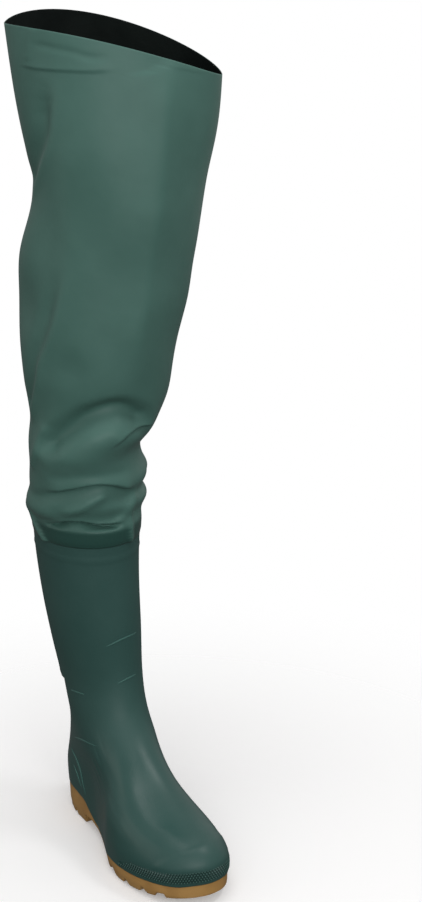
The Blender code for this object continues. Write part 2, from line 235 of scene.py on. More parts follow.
def blended_path(points: np.ndarray, count: int) -> np.ndarray:
    """A smooth path through a few points.

    Args:
        points: the points, one per row.
        count: how many points the path gets.

    Returns:
        The path's points.
    """
    ends = np.concatenate((2 * points[:1] - points[1:2], points, 2 * points[-1:] - points[-2:-1]))
    spans = len(points) - 1
    place = np.linspace(0, spans, count)
    i = np.minimum(place.astype(int), spans - 1)
    t = (place - i)[:, None]
    p0, p1, p2, p3 = ends[i], ends[i + 1], ends[i + 2], ends[i + 3]
    bend = (2 * p0 - 5 * p1 + 4 * p2 - p3) * t**2 + (3 * p1 - p0 - 3 * p2 + p3) * t**3
    return p1 + 0.5 * ((p2 - p0) * t + bend)


def mesh_of(name: str, bm: bmesh.types.BMesh) -> Mesh:
    """Turns a bmesh into a mesh and frees it.

    Args:
        name: the mesh's name.
        bm: the bmesh.

    Returns:
        The mesh.
    """
    mesh = bpy.data.meshes.new(name)
    bm.to_mesh(mesh)
    bm.free()
    return mesh


def placed(name: str, data: bpy.types.ID) -> bpy.types.Object:
    """Puts a mesh, lamp or camera in the scene.

    Args:
        name: the object's name.
        data: what it shows.

    Returns:
        The new object.
    """
    thing = bpy.data.objects.new(name, data)
    bpy.context.scene.collection.objects.link(thing)
    return thing


def wrapped_mesh(name: str, points: np.ndarray) -> Mesh:
    """A mesh over a grid of points that closes round its second axis.

    Args:
        name: the mesh's name.
        points: points by row, by turn, by axis; a row may shrink to a line or a point.

    Returns:
        The mesh, smooth shaded and facing out.
    """
    rows, around = points.shape[:2]
    bm = bmesh.new()
    bmesh.ops.create_grid(bm, x_segments=around, y_segments=rows - 1, size=0.5)
    flat = np.array([v.co for v in bm.verts])
    share = (flat - flat.min(axis=0)) / np.maximum(np.ptp(flat, axis=0), TINY)
    across = np.rint(share[:, 0] * around).astype(int) % around
    up = np.rint(share[:, 1] * (rows - 1)).astype(int)
    for vert, place in zip(bm.verts, points[up, across]):
        vert.co = place
    bmesh.ops.remove_doubles(bm, verts=bm.verts, dist=SAME_POINT)
    bmesh.ops.recalc_face_normals(bm, faces=bm.faces)
    mesh = mesh_of(name, bm)
    mesh.shade_smooth()
    return mesh


def show(mesh: Mesh, finishes: Sequence[Material]) -> Piece:
    """Puts a mesh in the scene as a piece of the wader.

    Args:
        mesh: the piece's mesh, in place.
        finishes: its materials in slot order.

    Returns:
        The piece, riding on the wader's body.
    """
    piece = placed(mesh.name, mesh)
    for finish in finishes:
        mesh.materials.append(finish)
    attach(piece, BODY)
    return piece


def give_wall(piece: Piece, thickness: float, lined: bool = True) -> bpy.types.Modifier:
    """Gives an open surface a wall on its inner side.

    Args:
        piece: the piece.
        thickness: the wall's thickness.
        lined: whether the inside and the rim have the piece's second and third finishes.

    Returns:
        The modifier that makes the wall.
    """
    made = piece.modifiers.new("wall", "SOLIDIFY")
    made.thickness = thickness
    made.offset = -1.0
    made.use_even_offset = False
    if lined:
        made.material_offset = 1
        made.material_offset_rim = 2
    return made


class NodeSheet:
    """A node tree with short ways to add and join nodes."""

    MIX_VALUES = (2, 3)
    MIX_COLOURS = (6, 7)
    MIXED_COLOUR = 2

    def __init__(self, tree: NodeTree) -> None:
        """Takes a tree to draw on."""
        self.tree = tree

    def add(self, kind: str, values: dict[str | int, object] | None = None, **settings: object) -> Node:
        """A new node with some of its settings and input values made.

        Args:
            kind: the node's type name.
            values: what its unjoined inputs hold, by name or number.
            settings: properties of the node by name.

        Returns:
            The node.
        """
        node = self.tree.nodes.new(kind)
        for name, value in settings.items():
            setattr(node, name, value)
        self.fill(node, values or {})
        return node

    def fill(self, node: Node, values: dict[str | int, object]) -> None:
        """Sets what a node's unjoined inputs hold, by name or number."""
        for name, value in values.items():
            node.inputs[name].default_value = value

    def join(self, source: Socket, target: Socket) -> None:
        """Joins an output to an input."""
        self.tree.links.new(source, target)

    def ramp(self, source: Socket, low: float, high: float, to: Span = (0.0, 1.0)) -> Socket:
        """A value taken softly from one range to another.

        Args:
            source: the value's socket.
            low: where the range begins.
            high: where it ends.
            to: what its two ends become.

        Returns:
            The new value's socket.
        """
        ends = {"From Min": low, "From Max": high, "To Min": to[0], "To Max": to[1]}
        node = self.add("ShaderNodeMapRange", ends, interpolation_type="SMOOTHSTEP")
        self.join(source, node.inputs["Value"])
        return node.outputs["Result"]

    def total(self, first: Socket, second: Socket) -> Socket:
        """The sum of two values.

        Args:
            first: one value's socket.
            second: the other's.

        Returns:
            The sum's socket.
        """
        node = self.add("ShaderNodeMath", operation="ADD")
        self.join(first, node.inputs[0])
        self.join(second, node.inputs[1])
        return node.outputs["Value"]

    def blend(self, mask: Socket, first: Socket, second: Socket) -> Socket:
        """A mix of two shaders by a mask.

        Args:
            mask: 0 for the first shader and 1 for the second.
            first: a shader's socket.
            second: the other's.

        Returns:
            The mixed shader's socket.
        """
        node = self.add("ShaderNodeMixShader")
        for source, target in zip((mask, first, second), node.inputs):
            self.join(source, target)
        return node.outputs["Shader"]

    def tint(self, mask: Socket, first: object, second: object) -> Socket:
        """A mix of two colours by a mask.

        Args:
            mask: 0 for the first colour and 1 for the second.
            first: a colour or a colour socket.
            second: a colour or a colour socket.

        Returns:
            The mixed colour's socket.
        """
        node = self.add("ShaderNodeMix", data_type="RGBA")
        self.join(mask, node.inputs["Factor"])
        for colour, number in zip((first, second), self.MIX_COLOURS):
            if isinstance(colour, tuple):
                self.fill(node, {number: (*colour, 1.0)})
            else:
                self.join(colour, node.inputs[number])
        return node.outputs[self.MIXED_COLOUR]


@dataclass
class SurfaceGroups:
    """Node groups for effects that several finishes share."""

    fine_share: float = 0.35
    fine_detail: float = 3.0
    broad_detail: float = 1.0
    streak_draw: Place = (1.0, 1.0, 0.18)
    cloud_detail: float = 3.0
    streak_detail: float = 5.0
    mark_roughness: float = 0.55
    mark_range: Span = (0.36, 0.66)

    def __post_init__(self) -> None:
        """Builds the groups."""
        self.grain = self.build_grain()
        self.marks = self.build_marks()

    @staticmethod
    def new_group(name: str, inputs: Sequence[str], outputs: Sequence[str]) -> tuple[NodeSheet, Node, Node]:
        """An empty group with a vector input, value inputs and value outputs.

        Args:
            name: the group's name.
            inputs: the names of its value inputs.
            outputs: the names of its value outputs.

        Returns:
            Its sheet, its input node and its output node.
        """
        tree = bpy.data.node_groups.new(name, "ShaderNodeTree")
        tree.interface.new_socket("Vector", in_out="INPUT", socket_type="NodeSocketVector")
        for way, sockets in (("INPUT", inputs), ("OUTPUT", outputs)):
            for socket in sockets:
                tree.interface.new_socket(socket, in_out=way, socket_type="NodeSocketFloat")
        sheet = NodeSheet(tree)
        return sheet, sheet.add("NodeGroupInput"), sheet.add("NodeGroupOutput")

    def build_grain(self) -> NodeTree:
        """Fine uneven grain over broad, shallow ripples, as a height.

        Returns:
            The group's tree.
        """
        sheet, given, made = self.new_group("moulded_grain", ("Fine Scale", "Broad Scale"), ("Height",))
        total = sheet.add("ShaderNodeMath", {1: self.fine_share}, operation="MULTIPLY_ADD")
        fine = ("Fine Scale", self.fine_detail, total.inputs[0])
        broad = ("Broad Scale", self.broad_detail, total.inputs[2])
        for scale, detail, target in (fine, broad):
            noise = sheet.add("ShaderNodeTexNoise", {"Detail": detail})
            sheet.join(given.outputs["Vector"], noise.inputs["Vector"])
            sheet.join(given.outputs[scale], noise.inputs["Scale"])
            sheet.join(noise.outputs["Fac"], target)
        sheet.join(total.outputs[0], made.inputs["Height"])
        return sheet.tree

    def build_marks(self) -> NodeTree:
        """Cloudy handling marks, with a second, streaky set drawn out up the leg, as masks.

        Returns:
            The group's tree.
        """
        sheet, given, made = self.new_group("handling_marks", ("Scale",), ("Clouds", "Streaks"))
        drawn = sheet.add("ShaderNodeVectorMath", {1: self.streak_draw}, operation="MULTIPLY")
        sheet.join(given.outputs["Vector"], drawn.inputs[0])
        clouds = (given.outputs["Vector"], self.cloud_detail, "Clouds")
        streaks = (drawn.outputs["Vector"], self.streak_detail, "Streaks")
        for source, detail, name in (clouds, streaks):
            noise = sheet.add("ShaderNodeTexNoise", {"Detail": detail, "Roughness": self.mark_roughness})
            sheet.join(source, noise.inputs["Vector"])
            sheet.join(given.outputs["Scale"], noise.inputs["Scale"])
            sheet.join(sheet.ramp(noise.outputs["Fac"], *self.mark_range), made.inputs[name])
        return sheet.tree


@dataclass(frozen=True)
class Finish:
    """A moulded or coated surface whose colour and gloss drift a little over it."""

    name: str
    colour: Colour
    drift: Colour
    gloss: Span
    grain_height: float
    grain: Span = (900.0, 60.0)
    marks: float = 11.0
    specular: float = 0.34
    coat: float = 0.0
    coat_roughness: float = 0.2
    sheen: float = 0.0
    sheen_tint: Colour = (0.8, 0.78, 0.74)

    def tone(self, sheet: NodeSheet, marks: Node) -> Socket:
        """The surface's colour, which drifts with the cloudy marks."""
        return sheet.tint(marks.outputs["Clouds"], self.colour, self.drift)

    def dullness(self, sheet: NodeSheet, marks: Node) -> Socket:
        """The surface's roughness, which drifts with the streaky marks."""
        return sheet.ramp(marks.outputs["Streaks"], 0.0, 1.0, self.gloss)

    def make(self, groups: SurfaceGroups) -> Material:
        """The finish as a material.

        Args:
            groups: the shared node groups.

        Returns:
            The material.
        """
        material = bpy.data.materials.new(self.name)
        material.use_nodes = True
        sheet = NodeSheet(material.node_tree)
        shader = material.node_tree.nodes["Principled BSDF"]
        fixed = {
            "Specular IOR Level": self.specular,
            "Coat Weight": self.coat,
            "Coat Roughness": self.coat_roughness,
            "Sheen Weight": self.sheen,
            "Sheen Tint": (*self.sheen_tint, 1.0),
        }
        sheet.fill(shader, fixed)
        place = sheet.add("ShaderNodeTexCoord")
        scales = {"Fine Scale": self.grain[0], "Broad Scale": self.grain[1]}
        marks = sheet.add("ShaderNodeGroup", {"Scale": self.marks}, node_tree=groups.marks)
        grain = sheet.add("ShaderNodeGroup", scales, node_tree=groups.grain)
        for group in (marks, grain):
            sheet.join(place.outputs["Object"], group.inputs["Vector"])
        bump = sheet.add("ShaderNodeBump", {"Distance": self.grain_height})
        sheet.join(grain.outputs["Height"], bump.inputs["Height"])
        sheet.join(bump.outputs["Normal"], shader.inputs["Normal"])
        sheet.join(self.tone(sheet, marks), shader.inputs["Base Color"])
        sheet.join(self.dullness(sheet, marks), shader.inputs["Roughness"])
        return material


@dataclass(frozen=True)
class MouldedCompound(Finish):
    """Smooth moulded compound that is duller up the shaft and rubbed duller over the toe."""

    dull_heights: Span = (0.116, 0.150)
    dull_shaft: float = 0.26
    dull_reach: Span = (0.220, 0.250)
    dull_toe: float = 0.13

    def dullness(self, sheet: NodeSheet, marks: Node) -> Socket:
        """The surface's roughness, with its duller zones laid out along the boot.

        Args:
            sheet: the material's sheet.
            marks: the handling marks' node.

        Returns:
            The roughness.
        """
        axes = sheet.add("ShaderNodeSeparateXYZ")
        sheet.join(sheet.add("ShaderNodeTexCoord").outputs["Object"], axes.inputs["Vector"])
        back, front = self.dull_reach
        shaft = sheet.ramp(axes.outputs["Z"], *self.dull_heights, (0.0, self.dull_shaft))
        toe = sheet.ramp(axes.outputs["Y"], -front, -back, (self.dull_toe, 0.0))
        return sheet.total(sheet.total(super().dullness(sheet, marks), shaft), toe)


@dataclass(frozen=True)
class WeldedCloth(Finish):
    """Coated cloth that is pressed smooth and darker where it is welded round the collar."""

    weld_colour: Colour = (0.021, 0.066, 0.054)
    weld_roughness: float = 0.34

    def weld(self, sheet: NodeSheet) -> Socket:
        """The mask of the weld, where the mesh is marked as pressed."""
        return sheet.add("ShaderNodeAttribute", attribute_name="pressed").outputs["Fac"]

    def tone(self, sheet: NodeSheet, marks: Node) -> Socket:
        """The cloth's colour, darker at the weld."""
        return sheet.tint(self.weld(sheet), super().tone(sheet, marks), self.weld_colour)

    def dullness(self, sheet: NodeSheet, marks: Node) -> Socket:
        """The cloth's roughness, smoother at the weld.

        Args:
            sheet: the material's sheet.
            marks: the handling marks' node.

        Returns:
            The roughness.
        """
        cloth, weld = sheet.MIX_VALUES
        rough = sheet.add("ShaderNodeMix", {weld: self.weld_roughness}, data_type="FLOAT")
        sheet.join(self.weld(sheet), rough.inputs["Factor"])
        sheet.join(super().dullness(sheet, marks), rough.inputs[cloth])
        return rough.outputs[0]


@dataclass(frozen=True)
class KnurledCompound(Finish):
    """Boot compound pressed into small pyramids, paled towards their tips as a painted highlight; its own
    colour is set dark as painted shade between them.
    """

    tip_highlight_colour: Colour = (0.095, 0.200, 0.175)
    tip_highlight_start: float = 0.30

    def tone(self, sheet: NodeSheet, marks: Node) -> Socket:
        """The compound's colour, paler towards the tips as a painted highlight.

        Args:
            sheet: the material's sheet.
            marks: the handling marks' node.

        Returns:
            The colour.
        """
        tip = sheet.add("ShaderNodeAttribute", attribute_name="tip").outputs["Fac"]
        # Painted highlight: the colour pales towards the pyramids' tips.
        painted_highlight = sheet.ramp(tip, self.tip_highlight_start, 1.0)
        return sheet.tint(painted_highlight, super().tone(sheet, marks), self.tip_highlight_colour)


LEG_CLOTH = WeldedCloth(
    name="coated_leg_cloth",
    colour=(0.070, 0.159, 0.133),
    drift=(0.060, 0.141, 0.117),
    gloss=(0.44, 0.54),
    grain=(1400.0, 90.0),
    grain_height=0.00022,
    marks=9.0,
    specular=0.30,
    sheen=0.02,
)
BOOT_COMPOUND = MouldedCompound(
    name="boot_compound",
    colour=(0.0245, 0.0760, 0.0660),
    drift=(0.0295, 0.0835, 0.0730),
    gloss=(0.29, 0.38),
    grain_height=0.00012,
    specular=0.46,
    coat=0.04,
    coat_roughness=0.30,
)
# Paler than the boot compound the ribs are moulded in: painted highlight along the ribs.
LIT_RIB_COMPOUND = Finish(
    name="rib_compound_painted_highlight",
    colour=(0.044, 0.120, 0.104),
    drift=(0.050, 0.130, 0.113),
    gloss=(0.30, 0.40),
    grain_height=0.00006,
)
# Darker than the boot compound: painted shade between the pyramids. Their paler tips are a painted
# highlight.
KNURLED_COMPOUND = KnurledCompound(
    name="knurled_compound",
    colour=(0.012, 0.040, 0.034),
    drift=(0.015, 0.045, 0.038),
    gloss=(0.38, 0.48),
    grain_height=0.00006,
)
SOLE_COMPOUND = Finish(
    name="amber_sole_compound",
    colour=(0.470, 0.265, 0.085),
    drift=(0.390, 0.212, 0.066),
    gloss=(0.40, 0.55),
    grain=(700.0, 80.0),
    grain_height=0.00022,
    marks=22.0,
    specular=0.35,
)
LINING_CLOTH = Finish(
    name="black_lining_cloth",
    colour=(0.005, 0.007, 0.0065),
    drift=(0.008, 0.011, 0.010),
    gloss=(0.70, 0.85),
    grain=(1600.0, 120.0),
    grain_height=0.0004,
    marks=14.0,
    specular=0.06,
)
CUT_EDGE = Finish(
    name="cut_edge",
    colour=(0.048, 0.086, 0.074),
    drift=(0.040, 0.074, 0.064),
    gloss=(0.55, 0.70),
    grain=(1500.0, 200.0),
    grain_height=0.0002,
    marks=40.0,
    specular=0.30,
)
INSOLE_FELT = Finish(
    name="insole_felt",
    colour=(0.014, 0.014, 0.014),
    drift=(0.022, 0.021, 0.020),
    gloss=(0.82, 0.95),
    grain=(2200.0, 300.0),
    grain_height=0.0006,
    marks=30.0,
    specular=0.15,
)


class Plan(NamedTuple):
    """Half the foot's width at a share of its length."""

    station: float
    half_width: float


class Curve(NamedTuple):
    """How far the foot's middle line stands to the inner side at a share of its length."""

    station: float
    sideways: float


class Feather(NamedTuple):
    """Height of the line where boot and sole meet, of the raised band above it and of the sole's bed."""

    station: float
    height: float
    band: float
    bed: float


class Section(NamedTuple):
    """A section of the boot from a point on the back of the heel to one on the toe, vamp or shin."""

    front: float
    front_height: float
    back: float
    back_height: float
    follow: float = 0.0
    band_follow: float = 0.0
    proud: float = 0.0


class Shaft(NamedTuple):
    """Half the shaft's width and its sideways place at a height."""

    height: float
    half_width: float
    sideways: float


@dataclass
class FootPlan:
    """The plan of the foot and the line where boot and sole meet."""

    length: float = 0.302
    ball_width: float = 0.108
    heel_width: float = 0.075
    heel_back_y: float = 0.035
    foot_top: float = 0.060
    heel_round: float = 0.15
    toe_round_start: float = 0.70
    toe_power: float = 2.4
    widths: tuple[Plan, ...] = (
        Plan(0.15, 0.0375),
        Plan(0.25, 0.0372),
        Plan(0.36, 0.0355),
        Plan(0.48, 0.0412),
        Plan(0.59, 0.0502),
        Plan(0.70, 0.0540),
    )
    curve: tuple[Curve, ...] = (
        Curve(0.00, 0.0),
        Curve(0.25, -0.0010),
        Curve(0.45, -0.0045),
        Curve(0.58, -0.0065),
        Curve(0.66, -0.0050),
        Curve(0.74, -0.0015),
        Curve(0.84, 0.0035),
        Curve(0.93, 0.0066),
        Curve(1.00, 0.0095),
    )
    joint: tuple[Feather, ...] = (
        Feather(0.00, 0.0376, 0.010, 0.0310),
        Feather(0.13, 0.0366, 0.010, 0.0300),
        Feather(0.21, 0.0350, 0.010, 0.0280),
        Feather(0.25, 0.0338, 0.011, 0.0262),
        Feather(0.31, 0.0240, 0.019, 0.0215),
        Feather(0.36, 0.0178, 0.020, 0.0165),
        Feather(0.45, 0.0164, 0.020, 0.0152),
        Feather(0.55, 0.0174, 0.019, 0.0152),
        Feather(0.65, 0.0200, 0.018, 0.0158),
        Feather(0.76, 0.0213, 0.017, 0.0172),
        Feather(0.88, 0.0240, 0.017, 0.0205),
        Feather(0.95, 0.0257, 0.018, 0.0236),
        Feather(1.00, 0.0288, 0.018, 0.0270),
    )

    def __post_init__(self) -> None:
        """Draws the curves through the tables."""
        self.middle_width = column(self.widths, "half_width", "station", self.length)
        self.middle_line = column(self.curve, "sideways", "station", self.length)
        self.feather = column(self.joint, "height", "station", self.length)
        self.band = column(self.joint, "band", "station", self.length)
        self.bed = column(self.joint, "bed", "station", self.length)

    def half_width(self, station: np.ndarray) -> np.ndarray:
        """Half the foot's width: an ellipse at the heel, a fuller round at the toe.

        Args:
            station: distances forward from the back of the heel.

        Returns:
            The half widths.
        """
        heel = self.heel_round * self.length
        toe = self.toe_round_start * self.length
        back = np.clip((heel - station) / heel, 0.0, 1.0)
        ahead = np.clip((station - toe) / (self.length - toe), 0.0, 1.0)
        width = self.middle_width(station)
        width = np.where(station < heel, self.heel_width / 2 * np.sqrt(1 - back**2), width)
        return np.where(station > toe, self.ball_width / 2 * np.sqrt(1 - ahead**self.toe_power), width)


class Rib(NamedTuple):
    """A thin raised line of the mould: its half width and the sideways, station and height of its points."""

    half_width: float
    path: tuple[Place, ...]


@dataclass
class MouldedBoot:
    """The foot and calf, moulded in one wall, with the band, ribs and toe cap of its mould."""

    plan: FootPlan
    around: int = 256
    row_pitch: float = 0.0034
    band_pitch: float = 0.0016
    wall: float = 0.0028
    crown_power: float = 3.1
    crown_least: float = 0.001
    shaft_start: float = 0.150
    throat_height: float = 0.180
    throat_rise: float = 12.0
    band_rings: int = 2
    band_proud: float = 0.0002
    body_inset: float = 0.0001
    band_stations: Span = (0.150, 0.225)
    collar_height: float = 0.386
    cap_station: float = 0.283
    cap_curve: float = 11.5
    cap_step: float = 0.0010
    cap_edge: float = 0.0036
    cap_clear: Span = (0.016, 0.021)
    ring_height: float = 0.350
    ring_proud: float = 0.0006
    ring_half: float = 0.0022
    dip_station: float = 0.200
    dip_ahead: float = 0.045
    dip_behind: float = 0.032
    dip_side: float = -0.014
    dip_width: float = 0.026
    dip_depth: float = 0.0042
    dip_heights: Span = (0.045, 0.065)
    crease_height: float = 0.181
    crease_lip: float = 0.0026
    crease_sink: float = 0.0013
    crease_reach: float = 0.018
    crease_edge: float = 0.003
    crease_stations: Span = (0.010, 0.075)
    crease_side: float = 0.02
    rib_steps: int = 40
    rib_sides: int = 10
    rib_flatness: float = 0.6
    knurl_width: float = 0.0033
    knurl_height: float = 0.0054
    knurl_rise: float = 0.0012
    knurl_base: float = 0.00006
    knurl_low: float = 0.30
    knurl_high: float = 0.93
    knurl_start: float = 0.207
    knurl_full: float = 0.240
    knurl_depth: float = 0.0006
    knurl_rows: int = 9
    knurl_samples: int = 200
    shaft: tuple[Shaft, ...] = (
        Shaft(0.060, 0.0450, 0.0),
        Shaft(0.100, 0.0455, 0.0),
        Shaft(0.140, 0.0420, 0.0),
        Shaft(0.180, 0.0440, 0.0),
        Shaft(0.220, 0.0487, -0.002),
        Shaft(0.260, 0.0525, -0.004),
        Shaft(0.300, 0.0550, -0.006),
        Shaft(0.345, 0.0577, -0.007),
        Shaft(0.386, 0.0600, -0.007),
    )
    sections: tuple[Section, ...] = (
        Section(0.3020, 0.0291, 0.0000, 0.0379, 1.0, 0.0, band_proud),
        Section(0.3032, 0.0383, -0.0010, 0.0429, 1.0, 0.5, band_proud),
        Section(0.3018, 0.0471, -0.0015, 0.0479, 1.0, 1.0, band_proud),
        Section(0.2962, 0.0575, -0.0020, 0.0545, 0.8, 0.7, -body_inset),
        Section(0.2873, 0.0647, -0.0022, 0.0603, 0.5, 0.4, -body_inset),
        Section(0.2702, 0.0723, -0.0018, 0.0664, 0.3, 0.2, -body_inset),
        Section(0.2460, 0.0805, -0.0008, 0.0735, 0.1, 0.1),
        Section(0.2210, 0.0918, 0.0010, 0.0815),
        Section(0.1970, 0.1045, 0.0030, 0.0900),
        Section(0.1750, 0.1182, 0.0055, 0.1010),
        Section(0.1545, 0.1335, 0.0075, 0.1140),
        Section(0.1375, 0.1500, 0.0075, 0.1300),
        Section(0.1262, 0.1685, 0.0045, 0.1500),
        Section(0.1195, 0.1895, -0.0020, 0.1750),
        Section(0.1165, 0.2160, -0.0105, 0.2070),
        Section(0.1155, 0.2470, -0.0170, 0.2430),
        Section(0.1145, 0.2800, -0.0225, 0.2790),
        Section(0.1140, 0.3150, -0.0265, 0.3150),
        Section(0.1145, 0.3500, -0.0290, 0.3500),
        Section(0.1170, collar_height, -0.0290, collar_height),
    )
    side_ribs: tuple[Rib, ...] = (
        Rib(
            0.0021,
            (
                (-0.037, 0.043, 0.087),
                (-0.038, 0.059, 0.080),
                (-0.038, 0.069, 0.070),
                (-0.038, 0.074, 0.058),
                (-0.039, 0.082, 0.042),
            ),
        ),
        Rib(
            0.0018,
            ((-0.038, 0.050, 0.068), (-0.038, 0.059, 0.061), (-0.038, 0.065, 0.054), (-0.038, 0.071, 0.048)),
        ),
    )
    single_ribs: tuple[Rib, ...] = (
        Rib(0.0013, ((-0.020, 0.111, 0.244), (0.000, 0.115, 0.2505), (0.024, 0.106, 0.2505))),
        Rib(0.0012, ((-0.009, 0.117, 0.197), (0.004, 0.118, 0.2003), (0.018, 0.113, 0.201))),
        Rib(0.0012, ((-0.044, 0.062, 0.1745), (-0.043, 0.075, 0.177), (-0.039, 0.090, 0.179))),
        Rib(0.0012, ((-0.039, 0.056, 0.1085), (-0.042, 0.085, 0.119), (-0.039, 0.120, 0.1255))),
    )

    def __post_init__(self) -> None:
        """Draws the curves through the tables and lofts the wall's outer face."""
        body = self.sections[self.band_rings :]
        vamp = [row for row in body if row.front_height < self.throat_height]
        self.throat = vamp[-1].front
        self.vamp_height = column(vamp[::-1], "front_height", "front")
        self.shin_front = column(body, "front", "front_height")
        self.heel_back = column(self.sections, "back", "back_height")
        self.shaft_width = column(self.shaft, "half_width", "height")
        self.shaft_sideways = column(self.shaft, "sideways", "height")
        turns = 2 * np.pi * np.arange(self.around) / self.around
        self.loft = RingLoft(np.array([self.ring(row, turns) for row in self.sections]))

    def ring(self, section: Section, turns: np.ndarray) -> np.ndarray:
        """The points of one section, from the heel round the outer side to the front and back inside.

        Args:
            section: the section's row.
            turns: turns from the heel, in radians.

        Returns:
            The points, one per turn.
        """
        plan = self.plan
        share = (1 - np.cos(turns)) / 2
        station = section.back + share * (section.front - section.back)
        height = section.back_height + share * (section.front_height - section.back_height)
        for curve, follow in ((plan.feather, section.follow), (plan.band, section.band_follow)):
            level = curve(section.back) * (1 - share) + curve(section.front) * share
            height = height + follow * (curve(station) - level)
        blend = eased(height, plan.foot_top, self.shaft_start)
        if section.follow == 1.0:
            foot = plan.half_width(plan.length * share)
        else:
            foot = self.foot_half_width(station, height)
        proud = section.proud * eased(station, *self.band_stations)
        half = foot * (1 - blend) + self.shaft_half_width(station, height) * blend
        half = half + proud * np.abs(np.sin(turns))
        centre = plan.middle_line(station) * (1 - blend) + self.shaft_sideways(height) * blend
        side = np.where(turns < np.pi, Side.OUTER.value, Side.INNER.value)
        ahead = proud * np.cos(turns)
        return np.stack((centre + side * half, plan.heel_back_y - station + ahead, height), axis=1)

    def foot_half_width(self, station: np.ndarray, height: np.ndarray) -> np.ndarray:
        """Half the foot's width at points of its side view: a crowned section over each station.

        Args:
            station: distances forward from the back of the heel.
            height: heights above the floor.

        Returns:
            The half widths.
        """
        plan = self.plan
        back = self.heel_back(height)
        along = plan.length * np.maximum(0.0, station - back) / (plan.length - back)
        base = plan.feather(station)
        open_top = self.throat_rise * np.maximum(0.0, self.throat - station)
        crown = np.maximum(base + self.crown_least, self.vamp_height(station) + open_top)
        share = np.clip((height - base) / (crown - base), 0.0, 1.0)
        return plan.half_width(np.minimum(along, plan.length)) * np.sqrt(1 - share**self.crown_power)

    def shaft_half_width(self, station: np.ndarray, height: np.ndarray) -> np.ndarray:
        """Half the shaft's width at points of its side view: an ellipse at each height.

        Args:
            station: distances forward from the back of the heel.
            height: heights above the floor.

        Returns:
            The half widths.
        """
        front, back = self.shin_front(height), self.heel_back(height)
        share = (2 * station - front - back) / (front - back)
        return self.shaft_width(height) * np.sqrt(np.maximum(0.0, 1 - share**2))

    def collar_ring(self, turns: np.ndarray, height: float, widen: float) -> np.ndarray:
        """A level ring round the shaft, a little outside it.

        Args:
            turns: turns from the back, in radians.
            height: the ring's height.
            widen: how far it stands off the shaft.

        Returns:
            The points, one per turn.
        """
        front, back = self.shin_front(height), self.heel_back(height)
        station = back + (1 - np.cos(turns)) / 2 * (front - back)
        x = self.shaft_sideways(height) - (self.shaft_width(height) + widen) * np.sin(turns)
        y = self.plan.heel_back_y - station + widen * np.cos(turns)
        return np.stack((x, y, np.full_like(x, height)), axis=1)

    def relief(self, points: np.ndarray) -> np.ndarray:
        """How far the mould's own low forms stand out of the plain wall.

        Args:
            points: points of the wall by row, by turn, by axis.

        Returns:
            The relief at each point.
        """
        x, station, height = points[..., 0], self.plan.heel_back_y - points[..., 1], points[..., 2]
        edge = self.cap_station - self.cap_curve * x**2
        above_band = eased(height - self.plan.feather(station), *self.cap_clear)
        cap = self.cap_step * eased(station, edge - self.cap_edge / 2, edge + self.cap_edge / 2) * above_band
        ring = self.ring_proud * np.exp(-(((height - self.ring_height) / self.ring_half) ** 2))
        dip_reach = np.where(station > self.dip_station, self.dip_ahead, self.dip_behind)
        ahead = (station - self.dip_station) / dip_reach
        across = (x - self.dip_side) / self.dip_width
        dip = self.dip_depth * np.exp(-(ahead**2) - across**2) * eased(height, *self.dip_heights)
        apart = height - self.crease_height
        swell = np.where(apart > 0, self.crease_lip * np.exp(-apart / self.crease_reach), 0.0)
        sink = np.where(apart > 0, 0.0, -self.crease_sink * np.exp(apart / self.crease_reach))
        over = eased(apart, -self.crease_edge, self.crease_edge)
        behind = 1 - eased(station, *self.crease_stations)
        crease = (swell * over + sink * (1 - over)) * behind * (x < self.crease_side)
        return cap + ring - dip + crease

    def build(self, groups: SurfaceGroups) -> list[Piece]:
        """Makes the boot's wall, its ribs and its knurled toe band.

        Args:
            groups: the shared node groups.

        Returns:
            The pieces.
        """
        in_band = np.arange(len(self.sections)) < self.band_rings
        points = self.loft.rows(np.where(in_band, self.band_pitch, self.row_pitch))
        points = points + grid_normals(points) * self.relief(points)[..., None]
        compound = BOOT_COMPOUND.make(groups)
        lining = LINING_CLOTH.make(groups)
        mesh = wrapped_mesh("dressed_boot", points)
        tree = BVHTree.FromPolygons([v.co for v in mesh.vertices], [p.vertices for p in mesh.polygons])
        boot = show(mesh, (compound, lining, compound))
        give_wall(boot, self.wall)
        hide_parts("boot_upper")
        return [boot, self.make_ribs(tree, LIT_RIB_COMPOUND.make(groups)), self.make_knurl(groups)]

    def make_ribs(self, tree: BVHTree, compound: Material) -> Piece:
        """Lays the mould's thin raised lines on the wall.

        Args:
            tree: the wall's outer face, to lay them on.
            compound: the ribs' material.

        Returns:
            The ribs as one piece.
        """
        place = np.linspace(0, 1, self.rib_steps)
        turn = 2 * np.pi * np.arange(self.rib_sides) / self.rib_sides
        wide = np.cos(turn)[None, :, None]
        tall = self.rib_flatness * np.sin(turn)[None, :, None]
        whole = bmesh.new()
        for rib in self.every_rib():
            rough = blended_path(np.array(rib.path), self.rib_steps)
            hits = [tree.find_nearest((x, self.plan.heel_back_y - s, z)) for x, s, z in rough]
            spine = np.array([hit[0] for hit in hits])
            normal = np.array([hit[1] for hit in hits])
            across = unit(np.cross(normal, np.gradient(spine, axis=0)))
            swell = rib.half_width * np.sqrt(np.maximum(0.0, np.sin(np.pi * place)))
            ring = wide * across[:, None] + tall * normal[:, None]
            mesh = wrapped_mesh("rib", spine[:, None] + ring * swell[:, None, None])
            whole.from_mesh(mesh)
            bpy.data.meshes.remove(mesh)
        mesh = mesh_of("moulded_ribs", whole)
        mesh.shade_smooth()
        return show(mesh, (compound,))

    def every_rib(self) -> list[Rib]:
        """The ribs, with those of the outer side on the inner side too."""
        mirrored = [Rib(rib.half_width, tuple((-x, s, z) for x, s, z in rib.path)) for rib in self.side_ribs]
        return [*self.side_ribs, *mirrored, *self.single_ribs]

